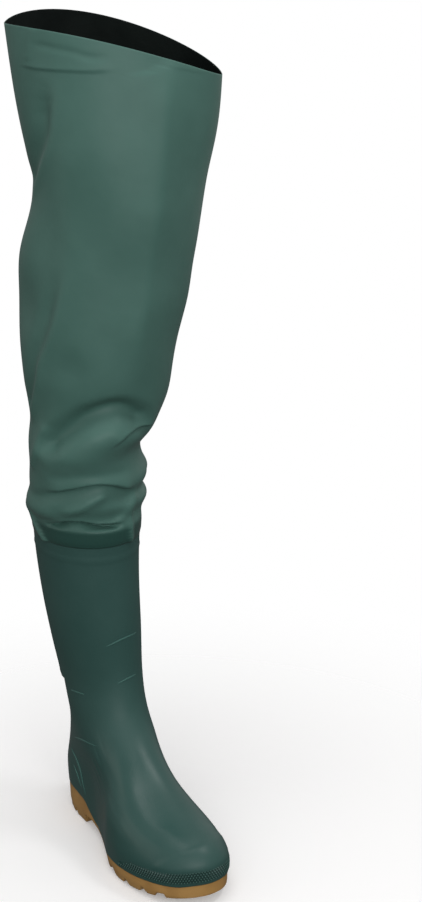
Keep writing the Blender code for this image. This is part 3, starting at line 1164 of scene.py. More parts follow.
    def knurl_lattice(self, length: float, height: float) -> bmesh.types.BMesh:
        """A flat lattice of diamonds, centred on half the strip's length.

        Args:
            length: the strip's length.
            height: its greatest height.

        Returns:
            The lattice, which is larger than the strip.
        """
        cells = int(length / self.knurl_width) + 2 * math.ceil(height / self.knurl_height)
        bm = bmesh.new()
        bmesh.ops.create_grid(bm, x_segments=cells, y_segments=cells, size=cells / 2)
        for vert in bm.verts:
            i, j = vert.co.x, vert.co.y
            vert.co = ((i - j) * self.knurl_width / 2 + length / 2, (i + j) * self.knurl_height / 2, 0.0)
        return bm

    def make_knurl(self, groups: SurfaceGroups) -> Piece:
        """Presses small pyramids in a diamond lattice into a strip that lies on the band round the toe.

        Args:
            groups: the shared node groups.

        Returns:
            The strip as a piece.
        """
        places = self.loft.places
        band = self.loft.at(np.linspace(places[0], places[self.band_rings], self.knurl_rows))
        middle = self.knurl_rows // 2
        station = self.plan.heel_back_y - band[middle, :, 1]
        first, last = np.flatnonzero(station > self.knurl_start)[[0, -1]]
        strip = band[:, first : last + 1]
        normals = grid_normals(band)[:, first : last + 1]
        steps = np.linalg.norm(np.diff(strip[middle], axis=0), axis=1)
        along = np.concatenate(([0.0], np.cumsum(steps)))
        length = along[-1]
        tall = np.linalg.norm(np.diff(strip, axis=0), axis=2).sum(axis=0)
        fullness = eased(station[first : last + 1], self.knurl_start, self.knurl_full)
        top_share = self.knurl_low + (self.knurl_high - self.knurl_low) * fullness
        samples = np.linspace(0, length, self.knurl_samples)
        low = np.interp(samples, along, tall * self.knurl_low)
        high = np.interp(samples, along, tall * top_share)
        shift = (low.min() + high.max()) / 2
        bm = self.knurl_lattice(length, tall.max())
        outside = []
        for face in bm.faces:
            x, y = face.calc_center_median().xy
            within = np.interp(x, samples, low) < y + shift < np.interp(x, samples, high)
            if not (within and 0.0 < x < length):
                outside.append(face)
        bmesh.ops.delete(bm, geom=outside, context="FACES")
        bmesh.ops.poke(bm, faces=bm.faces, offset=self.knurl_rise, center_mode="MEAN")
        flat = np.array([v.co for v in bm.verts])
        turn = np.interp(flat[:, 0], along, np.arange(len(along)))
        share = np.clip((flat[:, 1] + shift) / np.interp(flat[:, 0], along, tall), 0, 1)
        row = share * (len(strip) - 1)
        rise = np.abs(flat[:, 2:])
        laid = between(strip, row, turn) + between(normals, row, turn) * (rise + self.knurl_base)
        for vert, place in zip(bm.verts, laid):
            vert.co = place
        bmesh.ops.recalc_face_normals(bm, faces=bm.faces)
        mesh = mesh_of("toe_knurl", bm)
        # The tip share drives the painted highlight that pales the knurl's tips.
        tips = rise.ravel() / self.knurl_rise
        mesh.attributes.new("tip", "FLOAT", "POINT").data.foreach_set("value", tips)
        piece = show(mesh, (KNURLED_COMPOUND.make(groups),))
        give_wall(piece, self.knurl_depth, lined=False)
        return piece


class Lug(NamedTuple):
    """Where a lug of the tread begins and ends on the floor."""

    back: float
    front: float


class Waist(NamedTuple):
    """A point of the arched underside between heel and forefoot."""

    station: float
    height: float


class RimPoint(NamedTuple):
    """A point of the sole's cross section.

    Out is a share of the half width, level a share of the height up to the boot, edge a share of the rounded
    corner, and drawn how far the point lies inside the plan.
    """

    side: int
    out: float
    level: float
    edge: float
    drawn: float
    in_bed: bool


@dataclass
class CleatedSole:
    """The moulded sole: a wall round the plan that narrows to the floor, and a tread of bar lugs."""

    plan: FootPlan
    stations: int = 330
    end_crowding: float = 0.45
    wall_steps: int = 7
    edge_steps: int = 4
    tread_steps: int = 44
    tread_samples: int = 3200
    bed_steps: int = 9
    wall_low: float = 0.12
    sharp_angle: float = math.radians(50)
    edge_round: float = 0.0011
    rim_round: float = 0.0007
    round_share: float = 0.6
    taper: float = 0.0044
    taper_low: float = 1.3
    taper_high: float = 0.25
    bed_rim: float = 0.0028
    taper_height: float = 0.013
    toe_spring: float = 0.0142
    spring_start: float = 0.182
    notch_depth: float = 0.0060
    notch_flank: float = 0.0030
    heel_bevel: float = 0.009
    overrun: float = 0.010
    groove_station: float = 0.270
    groove_turn: float = math.radians(38)
    groove_mouth: float = 0.012
    groove_reach: float = 0.020
    groove_depth: float = 0.0050
    waist: tuple[Waist, ...] = (
        Waist(0.077, 0.0130),
        Waist(0.092, 0.0140),
        Waist(0.108, 0.0115),
        Waist(0.119, 0.0080),
    )
    heel_lugs: tuple[Lug, ...] = (Lug(0.009, 0.016), Lug(0.027, 0.043), Lug(0.053, 0.073))
    toe_lugs: tuple[Lug, ...] = (
        Lug(0.131, 0.140),
        Lug(0.151, 0.177),
        Lug(0.194, 0.212),
        Lug(0.223, 0.240),
        Lug(0.251, 0.312),
    )

    def __post_init__(self) -> None:
        """Lists the tread's points and softens its corners."""
        points = [(-self.overrun, self.heel_bevel)]
        points += self.notched(self.heel_lugs[0])[1:]
        for lug in self.heel_lugs[1:]:
            points += self.notched(lug)
        points += [(row.station, row.height) for row in self.waist]
        for lug in self.toe_lugs:
            points += self.notched(lug)
        del points[-1:]
        places, heights = np.array(points).T
        fine = np.linspace(places[0], places[-1], self.tread_samples)
        raw = np.interp(fine, places, heights)
        width = round(self.edge_round / (fine[1] - fine[0]))
        kernel = np.hanning(2 * width + 1)
        soft = np.convolve(np.pad(raw, width, mode="edge"), kernel / kernel.sum(), mode="valid")
        self.tread_places, self.tread_heights = fine, soft

    def spring(self, station: np.ndarray | float) -> np.ndarray:
        """How far the toe spring lifts the tread at a station."""
        share = np.maximum(0.0, (station - self.spring_start) / (self.plan.length - self.spring_start))
        return self.toe_spring * share * share

    def notched(self, lug: Lug) -> list[Span]:
        """A lug's rear flank, its foot and its front flank."""
        rear, ahead = lug.back - self.notch_flank, lug.front + self.notch_flank
        return [(rear, self.notch_depth), (lug.back, 0.0), (lug.front, 0.0), (ahead, self.notch_depth)]

    def underside(self, x: np.ndarray, station: np.ndarray) -> np.ndarray:
        """Height of the tread under points of the plan, with the short notch across the toe's outer rim.

        Args:
            x: sideways places.
            station: distances forward from the back of the heel.

        Returns:
            The heights.
        """
        plain = np.interp(station, self.tread_places, self.tread_heights) + self.spring(station)
        edge_x = self.plan.middle_line(self.groove_station)
        edge_x = edge_x - self.plan.half_width(np.array(self.groove_station))
        cos, sin = math.cos(self.groove_turn), math.sin(self.groove_turn)
        aside, ahead = x - edge_x, station - self.groove_station
        reach = aside * cos - ahead * sin
        across = np.abs(aside * sin + ahead * cos)
        half, soft = self.groove_mouth / 2, self.notch_flank / 2
        mouth = 1 - eased(across, half - soft, half + soft)
        inside = 1 - eased(reach, self.groove_reach - self.notch_flank, self.groove_reach)
        return plain + self.groove_depth * mouth * inside

    def build(self, groups: SurfaceGroups) -> list[Piece]:
        """Makes the sole.

        Args:
            groups: the shared node groups.

        Returns:
            The sole, as a list of one piece.
        """
        plan, length = self.plan, self.plan.length
        share = np.linspace(0, 1, self.stations)
        rounded = (1 - np.cos(np.pi * share)) / 2
        station = length * (self.end_crowding * rounded + (1 - self.end_crowding) * share)
        half = plan.half_width(station)
        middle = plan.middle_line(station)
        top, bed = plan.feather(station), plan.bed(station)
        round_off = np.sqrt(np.abs(np.sin(np.arccos(np.clip(1 - 2 * station / length, -1, 1)))))
        taper_heights = (-self.overrun, self.taper_height, plan.foot_top)
        tapers = (self.taper * self.taper_low, self.taper * self.taper_high, 0.0)
        rows = []
        for point in self.cross_section():
            low = self.underside(middle + point.side * half, station)
            z = low + (top - low) * point.level
            inset = np.interp(z, taper_heights, tapers)
            wide = np.maximum(0.0, half - inset * round_off)
            drawn = length / 2 + (station - length / 2) * (1 - 2 * (inset + point.drawn) / length)
            rounding = self.edge_round if point.level < 0.5 else self.rim_round
            corner = np.minimum(rounding, wide * self.round_share)
            x = middle + point.side * np.maximum(0.0, wide - corner * point.edge - point.drawn) * point.out
            if point.level == 0.0:
                lift = 1 - math.sqrt(max(0.0, 1 - (1 - point.edge) ** 2))
                z = self.underside(x, drawn) + corner * lift * (point.out == 1.0)
            if point.in_bed:
                z = bed
            rows.append(np.stack((x, plan.heel_back_y - drawn, z), axis=1))
        mesh = wrapped_mesh("dressed_outsole", np.stack(rows, axis=1))
        mesh.set_sharp_from_angle(angle=self.sharp_angle)
        piece = show(mesh, (SOLE_COMPOUND.make(groups),))
        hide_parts("outsole")
        return [piece]

    def cross_section(self) -> list[RimPoint]:
        """The loop of a cross section.

        Returns:
            The points down the outer wall, under the tread, up the inner wall, over the rim and the bed.
        """
        wall = [(1.0, level, 0.0, 0.0, False) for level in np.linspace(1.0, self.wall_low, self.wall_steps)]
        edge = [(1.0, 0.0, i / self.edge_steps, 0.0, False) for i in range(self.edge_steps + 1)]
        across = np.linspace(1.0, 0.0, self.tread_steps // 2 + 1)[1:]
        under = [(share, 0.0, 1.0, 0.0, False) for share in across]
        rim = [(1.0, 1.0, 1.0, 0.0, False), (1.0, 1.0, 0.0, self.bed_rim, False)]
        floor = [(share, 1.0, 0.0, self.bed_rim, True) for share in np.linspace(1.0, 0.0, self.bed_steps)]
        low, high = wall + edge + under, rim + floor
        outer, inner = Side.OUTER.value, Side.INNER.value
        loop = [RimPoint(outer, *p) for p in low] + [RimPoint(inner, *p) for p in low[-2::-1]]
        return loop + [RimPoint(inner, *p) for p in high] + [RimPoint(outer, *p) for p in high[-2::-1]]


class Slice(NamedTuple):
    """The leg's reach from its axis to its fold corners and panels at a height, and how creased it is."""

    height: float
    outer: float
    inner: float
    front: float
    rear: float
    corner: float


class Fold(NamedTuple):
    """A fold line over the leg.

    Depth is how far the cloth drops or rises at the line, above and below how far that reaches on its two
    sides, and lip how far the cloth stands out beside it. The path has degrees of turn from the outer fold
    corner over the front, and heights; a path that runs down the leg has its inner side above.
    """

    kind: FoldKind
    depth: float
    above: float
    below: float
    path: tuple[Span, ...]
    lip: float = 0.0


class Hollow(NamedTuple):
    """A soft hollow, or a swelling where its depth is negative."""

    turn: float
    height: float
    depth: float
    across: float
    up: float


TROUGH, RIDGE, CREST, BREAK, TUCK = FoldKind
LOW_LAP: tuple[Span, ...] = (
    (34, 0.3860), (43, 0.3885), (51, 0.3900), (66, 0.3965), (77.5, 0.3985), (87, 0.3968), (95, 0.3950),
    (106, 0.3938), (117, 0.3930), (124, 0.3930),
)
LOW_LAP_SINK = 0.003
FOLDS: tuple[Fold, ...] = (
    Fold(TROUGH, 0.0050, 0.014, 0.005, tuple((turn, height - LOW_LAP_SINK) for turn, height in LOW_LAP)),
    Fold(TUCK, 0.0115, 0.008, 0.006, LOW_LAP, 0.0045),
    Fold(RIDGE, 0.0016, 0.003, 0.004, (
        (40, 0.3810), (51, 0.3828), (66, 0.3893), (77.5, 0.3912), (87, 0.3895), (95, 0.3878), (106, 0.3868),
        (120, 0.3866),
    )),
    Fold(RIDGE, 0.0028, 0.005, 0.007, ((115, 0.3935), (127, 0.4005), (136, 0.412), (150, 0.424))),
    Fold(TROUGH, 0.0030, 0.006, 0.010, (
        (12, 0.4165), (36, 0.4222), (63.6, 0.4316), (82, 0.4386), (94, 0.4413), (103, 0.4404),
        (114.5, 0.4361), (128.5, 0.4289), (150, 0.422),
    )),
    Fold(TUCK, 0.0012, 0.010, 0.012, (
        (44, 0.4295), (63.6, 0.4356), (82, 0.4426), (94, 0.4453), (103, 0.4444), (114.5, 0.4401),
        (128.5, 0.4329), (140, 0.429),
    ), 0.0060),
    Fold(TROUGH, 0.0130, 0.009, 0.016, (
        (44, 0.472), (52, 0.4865), (60, 0.4976), (73, 0.5107), (88.6, 0.5243), (102, 0.5311), (113, 0.5337),
        (123, 0.5311), (134.6, 0.521), (143, 0.511), (156, 0.492),
    )),
    Fold(TUCK, 0.0038, 0.012, 0.01, (
        (110, 0.487), (119, 0.496), (127, 0.502), (140, 0.5032), (152, 0.501), (161, 0.499),
    ), 0.0034),
    Fold(TROUGH, 0.0018, 0.007, 0.006, ((50, 0.449), (75, 0.454), (89, 0.4555), (110, 0.454), (140, 0.45))),
    Fold(RIDGE, 0.0038, 0.006, 0.007, (
        (58, 0.406), (76, 0.4137), (84, 0.4175), (91, 0.423), (100, 0.4288), (110, 0.435),
    )),
    Fold(BREAK, 0.0055, 0.009, 0.011, (
        (78, 0.69), (67, 0.632), (59, 0.603), (50, 0.5784), (42, 0.55), (28, 0.52), (20, 0.507),
    ), 0.0030),
    Fold(RIDGE, 0.0032, 0.004, 0.009, (
        (57, 0.511), (50, 0.498), (44.6, 0.4852), (39, 0.4713), (32, 0.4598), (26, 0.449),
    )),
    Fold(BREAK, 0.0062, 0.008, 0.012, (
        (73, 0.885), (69, 0.848), (66, 0.828), (61, 0.813), (52, 0.797), (41, 0.783), (23, 0.7635),
        (10, 0.75),
    ), 0.002),
    Fold(CREST, 0.0085, 0.028, 0.028, (
        (152, 0.922), (145, 0.8555), (139, 0.77), (135.5, 0.714), (133, 0.655), (129, 0.6125), (128, 0.545),
    )),
    Fold(TROUGH, 0.0012, 0.004, 0.004, (
        (46, 0.9155), (58, 0.9149), (75.5, 0.9119), (91, 0.9088), (104, 0.904), (118, 0.907),
    )),
    Fold(TUCK, 0.0003, 0.011, 0.004, (
        (26, 0.8935), (47.6, 0.8918), (67, 0.891), (87, 0.8906), (105, 0.8902), (120, 0.8935),
    ), 0.0018),
    Fold(RIDGE, 0.0012, 0.0035, 0.0035, ((46, 0.934), (45, 0.9263), (42, 0.9152), (40, 0.907), (38, 0.897))),
    Fold(RIDGE, 0.0038, 0.004, 0.005, (
        (-6, 0.407), (4, 0.395), (13, 0.3853), (27, 0.3749), (34, 0.366), (40, 0.357),
    )),
    Fold(RIDGE, 0.0032, 0.004, 0.004, (
        (138, 0.412), (136, 0.3985), (135, 0.385), (135, 0.3745), (138, 0.362), (140, 0.355),
    )),
    Fold(TUCK, 0.0065, 0.011, 0.008, (
        (200, 0.3945), (228, 0.401), (252, 0.3965), (285, 0.4035), (318, 0.3965),
    ), 0.005),
    Fold(TUCK, 0.005, 0.012, 0.013, (
        (188, 0.428), (215, 0.437), (245, 0.4425), (275, 0.438), (305, 0.445), (338, 0.4405),
    ), 0.005),
    Fold(TROUGH, 0.008, 0.014, 0.014, (
        (195, 0.505), (222, 0.485), (250, 0.4785), (278, 0.486), (305, 0.507),
    )),
    Fold(CREST, 0.005, 0.02, 0.02, ((215, 0.64), (224, 0.595), (233, 0.556), (240, 0.528))),
    Fold(CREST, 0.0045, 0.02, 0.02, ((310, 0.64), (302, 0.6), (296, 0.565), (288, 0.535))),
    Fold(CREST, 0.005, 0.022, 0.022, ((300, 0.845), (312, 0.812), (328, 0.785), (345, 0.765))),
)
HOLLOWS: tuple[Hollow, ...] = (
    Hollow(59, 0.695, 0.0050, 0.036, 0.050),
    Hollow(98, 0.745, 0.0040, 0.026, 0.052),
    Hollow(80, 0.575, 0.0040, 0.024, 0.022),
    Hollow(112, 0.500, -0.0020, 0.036, 0.014),
    Hollow(90, 0.474, -0.0010, 0.045, 0.009),
    Hollow(30, 0.640, 0.0045, 0.030, 0.035),
    Hollow(250, 0.560, 0.0045, 0.035, 0.030),
    Hollow(285, 0.720, 0.0040, 0.030, 0.060),
    Hollow(225, 0.780, 0.0035, 0.028, 0.060),
)


@dataclass
class ThighLeg:
    """The slack sleeve of coated cloth, welded round the collar and open at a slanted rim."""

    boot: MouldedBoot
    around: int = 190
    row_pitch: float = 0.0040
    fold_pitch: float = 0.0017
    fold_top: float = 0.552
    patch_low: float = 0.83
    wall: float = 0.0010
    gap: float = 0.00005
    hem: float = 0.366
    axis_y: float = -0.017
    turned: float = math.radians(60)
    rim_slope: float = 0.0275
    front_lift: float = 0.011
    rear_lift: float = 0.026
    rear_skew: float = 0.17
    rear_power: float = 1.3
    rear_crease: float = 0.3
    tilt_start: float = 0.545
    blend_rise: float = 0.020
    blend_top: float = 0.404
    path_steps: int = 48
    path_blend: float = 0.0025
    fold_limit: float = 4.0
    arm: float = 0.085
    tuck_edge: float = 0.0013
    crest_round: float = 0.0015
    end_fade: float = 0.18
    soften: int = 2
    weld_fade: float = 0.004
    clear_above: float = 0.004
    pleat_rise: float = 0.0030
    hem_taper: float = 0.006
    hem_share: float = 0.15
    same_side: Span = (-0.1, 0.5)
    slices: tuple[Slice, ...] = (
        Slice(0.392, 0.0750, 0.0535, 0.068, 0.073, 1.00),
        Slice(0.401, 0.0775, 0.0570, 0.0685, 0.076, 1.00),
        Slice(0.411, 0.0770, 0.0605, 0.0710, 0.080, 1.00),
        Slice(0.422, 0.0735, 0.0560, 0.0730, 0.076, 1.00),
        Slice(0.433, 0.0730, 0.0605, 0.0735, 0.078, 1.00),
        Slice(0.450, 0.0720, 0.0575, 0.0765, 0.082, 1.00),
        Slice(0.464, 0.0720, 0.0545, 0.0800, 0.080, 1.00),
        Slice(0.474, 0.0720, 0.0555, 0.0835, 0.077, 1.00),
        Slice(0.488, 0.0710, 0.0665, 0.0855, 0.080, 1.00),
        Slice(0.508, 0.0690, 0.0775, 0.0825, 0.084, 1.02),
        Slice(0.530, 0.0720, 0.0865, 0.080, 0.084, 1.05),
        Slice(0.560, 0.0750, 0.0925, 0.084, 0.084, 1.08),
        Slice(0.600, 0.0770, 0.1000, 0.085, 0.084, 1.12),
        Slice(0.645, 0.0760, 0.1110, 0.084, 0.084, 1.16),
        Slice(0.685, 0.0725, 0.1170, 0.084, 0.086, 1.18),
        Slice(0.715, 0.0625, 0.1220, 0.086, 0.088, 1.18),
        Slice(0.742, 0.0560, 0.1260, 0.087, 0.090, 1.18),
        Slice(0.770, 0.0585, 0.1300, 0.086, 0.090, 1.20),
        Slice(0.800, 0.0645, 0.1350, 0.084, 0.088, 1.22),
        Slice(0.835, 0.0705, 0.1425, 0.080, 0.085, 1.26),
        Slice(0.870, 0.0748, 0.1480, 0.076, 0.082, 1.30),
        Slice(0.9075, 0.0785, 0.1510, 0.072, 0.079, 1.34),
    )

    def __post_init__(self) -> None:
        """Lofts the plain sleeve."""
        self.collar = self.boot.collar_height
        self.turns = 2 * np.pi * np.arange(self.around) / self.around
        widen = self.wall + self.gap
        levels = (self.hem, (self.hem + self.collar) / 2, self.collar)
        rings = [self.boot.collar_ring(self.turns, z, widen) for z in levels]
        rings += [self.ring(row) for row in self.slices]
        self.loft = RingLoft(np.array(rings))

    @property
    def outward(self) -> np.ndarray:
        """The level direction from the axis to the outer fold corner."""
        return np.array((-math.sin(self.turned), math.cos(self.turned)))

    @property
    def forward(self) -> np.ndarray:
        """The level direction from the axis to the front panel."""
        return np.array((-math.cos(self.turned), -math.sin(self.turned)))

    def rim_offset(self, turn: np.ndarray) -> np.ndarray:
        """How far the slanted rim lies above its mean height.

        Args:
            turn: turns from the outer fold corner, in radians.

        Returns:
            The offsets.
        """
        bow = np.sin(turn)
        rear = self.rear_lift * (1 + self.rear_skew * np.cos(turn)) * np.abs(bow) ** self.rear_power
        return self.rim_slope * np.cos(turn) + np.where(bow > 0, self.front_lift * bow * bow, rear)

    def ring(self, row: Slice) -> np.ndarray:
        """The points of one slice, starting at the back as the boot's sections do.

        Args:
            row: the slice's row.

        Returns:
            The points, one per turn.
        """
        low_cut = eased(row.height, self.hem + self.blend_rise, self.blend_top)
        welded = self.boot.collar_ring(self.turns, min(row.height, self.collar), self.wall + self.gap)
        tilt = eased(row.height, self.tilt_start, self.slices[-1].height)
        turn = self.turns - self.turned
        along = (row.outer - row.inner) / 2 + (row.outer + row.inner) / 2 * np.cos(turn)
        bow = np.sin(turn)
        power = np.where(bow > 0, row.corner, 1 + (row.corner - 1) * self.rear_crease)
        across = np.where(bow > 0, row.front, -row.rear) * np.abs(bow) ** power
        level = along[:, None] * self.outward + across[:, None] * self.forward
        level[:, 1] += self.axis_y
        level = welded[:, :2] * (1 - low_cut) + level * low_cut
        return np.column_stack((level, row.height + tilt * self.rim_offset(turn)))

    def turn_of(self, points: np.ndarray) -> np.ndarray:
        """Degrees of turn of points from the outer fold corner over the front."""
        level = points[..., :2] - np.array((0.0, self.axis_y))
        return np.degrees(np.arctan2(level @ self.forward, level @ self.outward)) % 360

    def swing(self, turn: np.ndarray, wanted: float) -> np.ndarray:
        """How far round the cloth turns in degrees lie from a wanted one, as a length."""
        return np.radians((turn - wanted + 180) % 360 - 180) * self.arm

    def on_cloth(self, path: np.ndarray, cloth: np.ndarray, turn: np.ndarray) -> np.ndarray:
        """What the sleeve carries at turns and heights, blended over its nearest points.

        Args:
            path: turns in degrees and heights, one pair per row.
            cloth: the sleeve's points and normals side by side, by row and turn.
            turn: the turn of each point.

        Returns:
            A point and a normal side by side for each pair.
        """
        flat, flat_turn = cloth.reshape(-1, cloth.shape[-1]), turn.ravel()
        carried = []
        for wanted, height in path:
            swing = self.swing(flat_turn, wanted)
            apart = (swing**2 + (flat[:, 2] - height) ** 2) / self.path_blend**2
            weight = np.exp(apart.min() - apart)
            carried.append(weight @ flat / weight.sum())
        return np.array(carried)

    def fold_relief(self, fold: Fold, cloth: np.ndarray, turn: np.ndarray) -> np.ndarray:
        """How far one fold moves each point of the sleeve along its normal.

        Args:
            fold: the fold line.
            cloth: the sleeve's points and normals side by side, by row and turn.
            turn: the turn of each point.

        Returns:
            The moves, by row and turn.
        """
        path = blended_path(np.array(fold.path), self.path_steps)
        spine, facing = np.split(self.on_cloth(path, cloth, turn), 2, axis=1)
        flat, flat_normals = np.split(cloth.reshape(-1, cloth.shape[-1]), 2, axis=1)
        along = np.gradient(spine, axis=0)
        upward = unit(np.cross(facing, along))
        limit = self.fold_limit * max(fold.above, fold.below)
        low, high = spine.min(axis=0) - limit, spine.max(axis=0) + limit
        near = np.flatnonzero(np.all((flat > low) & (flat < high), axis=1))
        gaps = flat[near, None, :] - spine[None]
        distance = np.einsum("ijk,ijk->ij", gaps, gaps)
        closest = distance.argmin(axis=1)
        gap = gaps[np.arange(len(near)), closest]
        pace = np.linalg.norm(along, axis=1)[closest]
        ahead = np.einsum("ij,ij->i", gap, along[closest]) / pace
        apart = np.sqrt(np.maximum(0.0, distance.min(axis=1) - ahead**2))
        side = np.einsum("ij,ij->i", gap, upward[closest])
        signed = np.where(side >= 0, apart, -apart)
        place = (closest + ahead / pace) / (self.path_steps - 1)
        fade = eased(place, 0.0, self.end_fade) * (1 - eased(place, 1 - self.end_fade, 1.0))
        alike = np.einsum("ij,ij->i", flat_normals[near], facing[closest])
        moved = np.zeros(len(flat))
        moved[near] = self.profile(fold, signed) * fade * eased(alike, *self.same_side)
        return moved.reshape(turn.shape)

    def profile(self, fold: Fold, apart: np.ndarray) -> np.ndarray:
        """The cloth's rise at signed distances from a fold line, positive above it.

        Args:
            fold: the fold line.
            apart: signed distances.

        Returns:
            The rises.
        """
        reach = np.where(apart > 0, fold.above, fold.below)
        bell = np.exp(-((apart / reach) ** 2))
        if fold.kind is RIDGE:
            return fold.depth * bell
        if fold.kind is TROUGH:
            return -fold.depth * bell
        if fold.kind is CREST:
            soft = np.sqrt(apart**2 + self.crest_round**2) - self.crest_round
            return fold.depth * np.maximum(0.0, 1 - soft / (2 * reach)) ** 2
        if fold.kind is BREAK:
            beside = np.maximum(0.0, -apart) / fold.below
            hollow = fold.depth * beside * np.exp((1 - beside**2) / 2)
            return fold.lip * np.exp(-((apart / fold.above) ** 2)) - hollow
        fall = np.exp(-np.abs(apart) / reach)
        over = eased(apart, -self.tuck_edge, self.tuck_edge)
        return fold.lip * fall * over - fold.depth * fall * (1 - over)

    def build(self, groups: SurfaceGroups) -> list[Piece]:
        """Makes the leg with its folds.

        Args:
            groups: the shared node groups.

        Returns:
            The leg, as a list of one piece.
        """
        heights = self.loft.rings[:, :, 2].mean(axis=1)
        plain = (heights > self.fold_top) & (heights < self.patch_low)
        points = self.loft.rows(np.where(plain, self.row_pitch, self.fold_pitch))
        normals = grid_normals(points)
        turn = self.turn_of(points)
        cloth = np.concatenate((points, normals), axis=2)
        rise = sum(self.fold_relief(fold, cloth, turn) for fold in FOLDS)
        for hollow in HOLLOWS:
            across = self.swing(turn, hollow.turn) / hollow.across
            up = (points[..., 2] - hollow.height) / hollow.up
            rise -= hollow.depth * np.exp(-(across**2) - up**2)
        height = points[..., 2]
        clear = eased(height, self.collar, self.collar + self.clear_above)
        rise = np.where(rise < 0, rise * clear, rise)
        for _ in range(self.soften):
            rise = (np.roll(rise, 1, axis=1) + 2 * rise + np.roll(rise, -1, axis=1)) / 4
        pressed = 1 - eased(height, self.collar - self.weld_fade, self.collar + self.weld_fade)
        pressed = pressed * (1 - eased(rise, 0.0, self.pleat_rise))
        thin = 1 - eased(height, self.hem, self.hem + self.hem_taper)
        points = points + normals * (rise - thin * (1 - self.hem_share) * self.wall)[..., None]
        mesh = wrapped_mesh("dressed_leg", points)
        mesh.attributes.new("pressed", "FLOAT", "POINT").data.foreach_set("value", pressed.ravel())
        finishes = (LEG_CLOTH.make(groups), LINING_CLOTH.make(groups), CUT_EDGE.make(groups))
        leg = show(mesh, finishes)
        wall = give_wall(leg, self.wall)
        hem = leg.vertex_groups.new(name="hem")
        for index in np.flatnonzero(thin > 0):
            hem.add([int(index)], float(thin.ravel()[index]), "REPLACE")
        wall.vertex_group = hem.name
        wall.invert_vertex_group = True
        wall.thickness_vertex_group = self.hem_share
        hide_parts("thigh_leg")
        return [leg]


@dataclass(frozen=True)
class SoftLight:
    """A square soft light that faces a point of the wader."""

    name: str
    place: Place
    target: Place
    size: Span
    radiance: float
    colour: Colour = WHITE
    mirrored: bool = True

    def build(self) -> None:
        """Hangs the light."""
        data = bpy.data.lights.new(self.name, "AREA")
        data.shape = "RECTANGLE"
        data.size, data.size_y = self.size
        data.energy = self.radiance * math.pi * self.size[0] * self.size[1]
        data.color = self.colour
        lamp = placed(self.name, data)
        lamp.visible_glossy = self.mirrored
        lamp.location = self.place
        lamp.rotation_mode = "QUATERNION"
        lamp.rotation_quaternion = (Vector(self.target) - Vector(self.place)).to_track_quat("-Z", "Y")


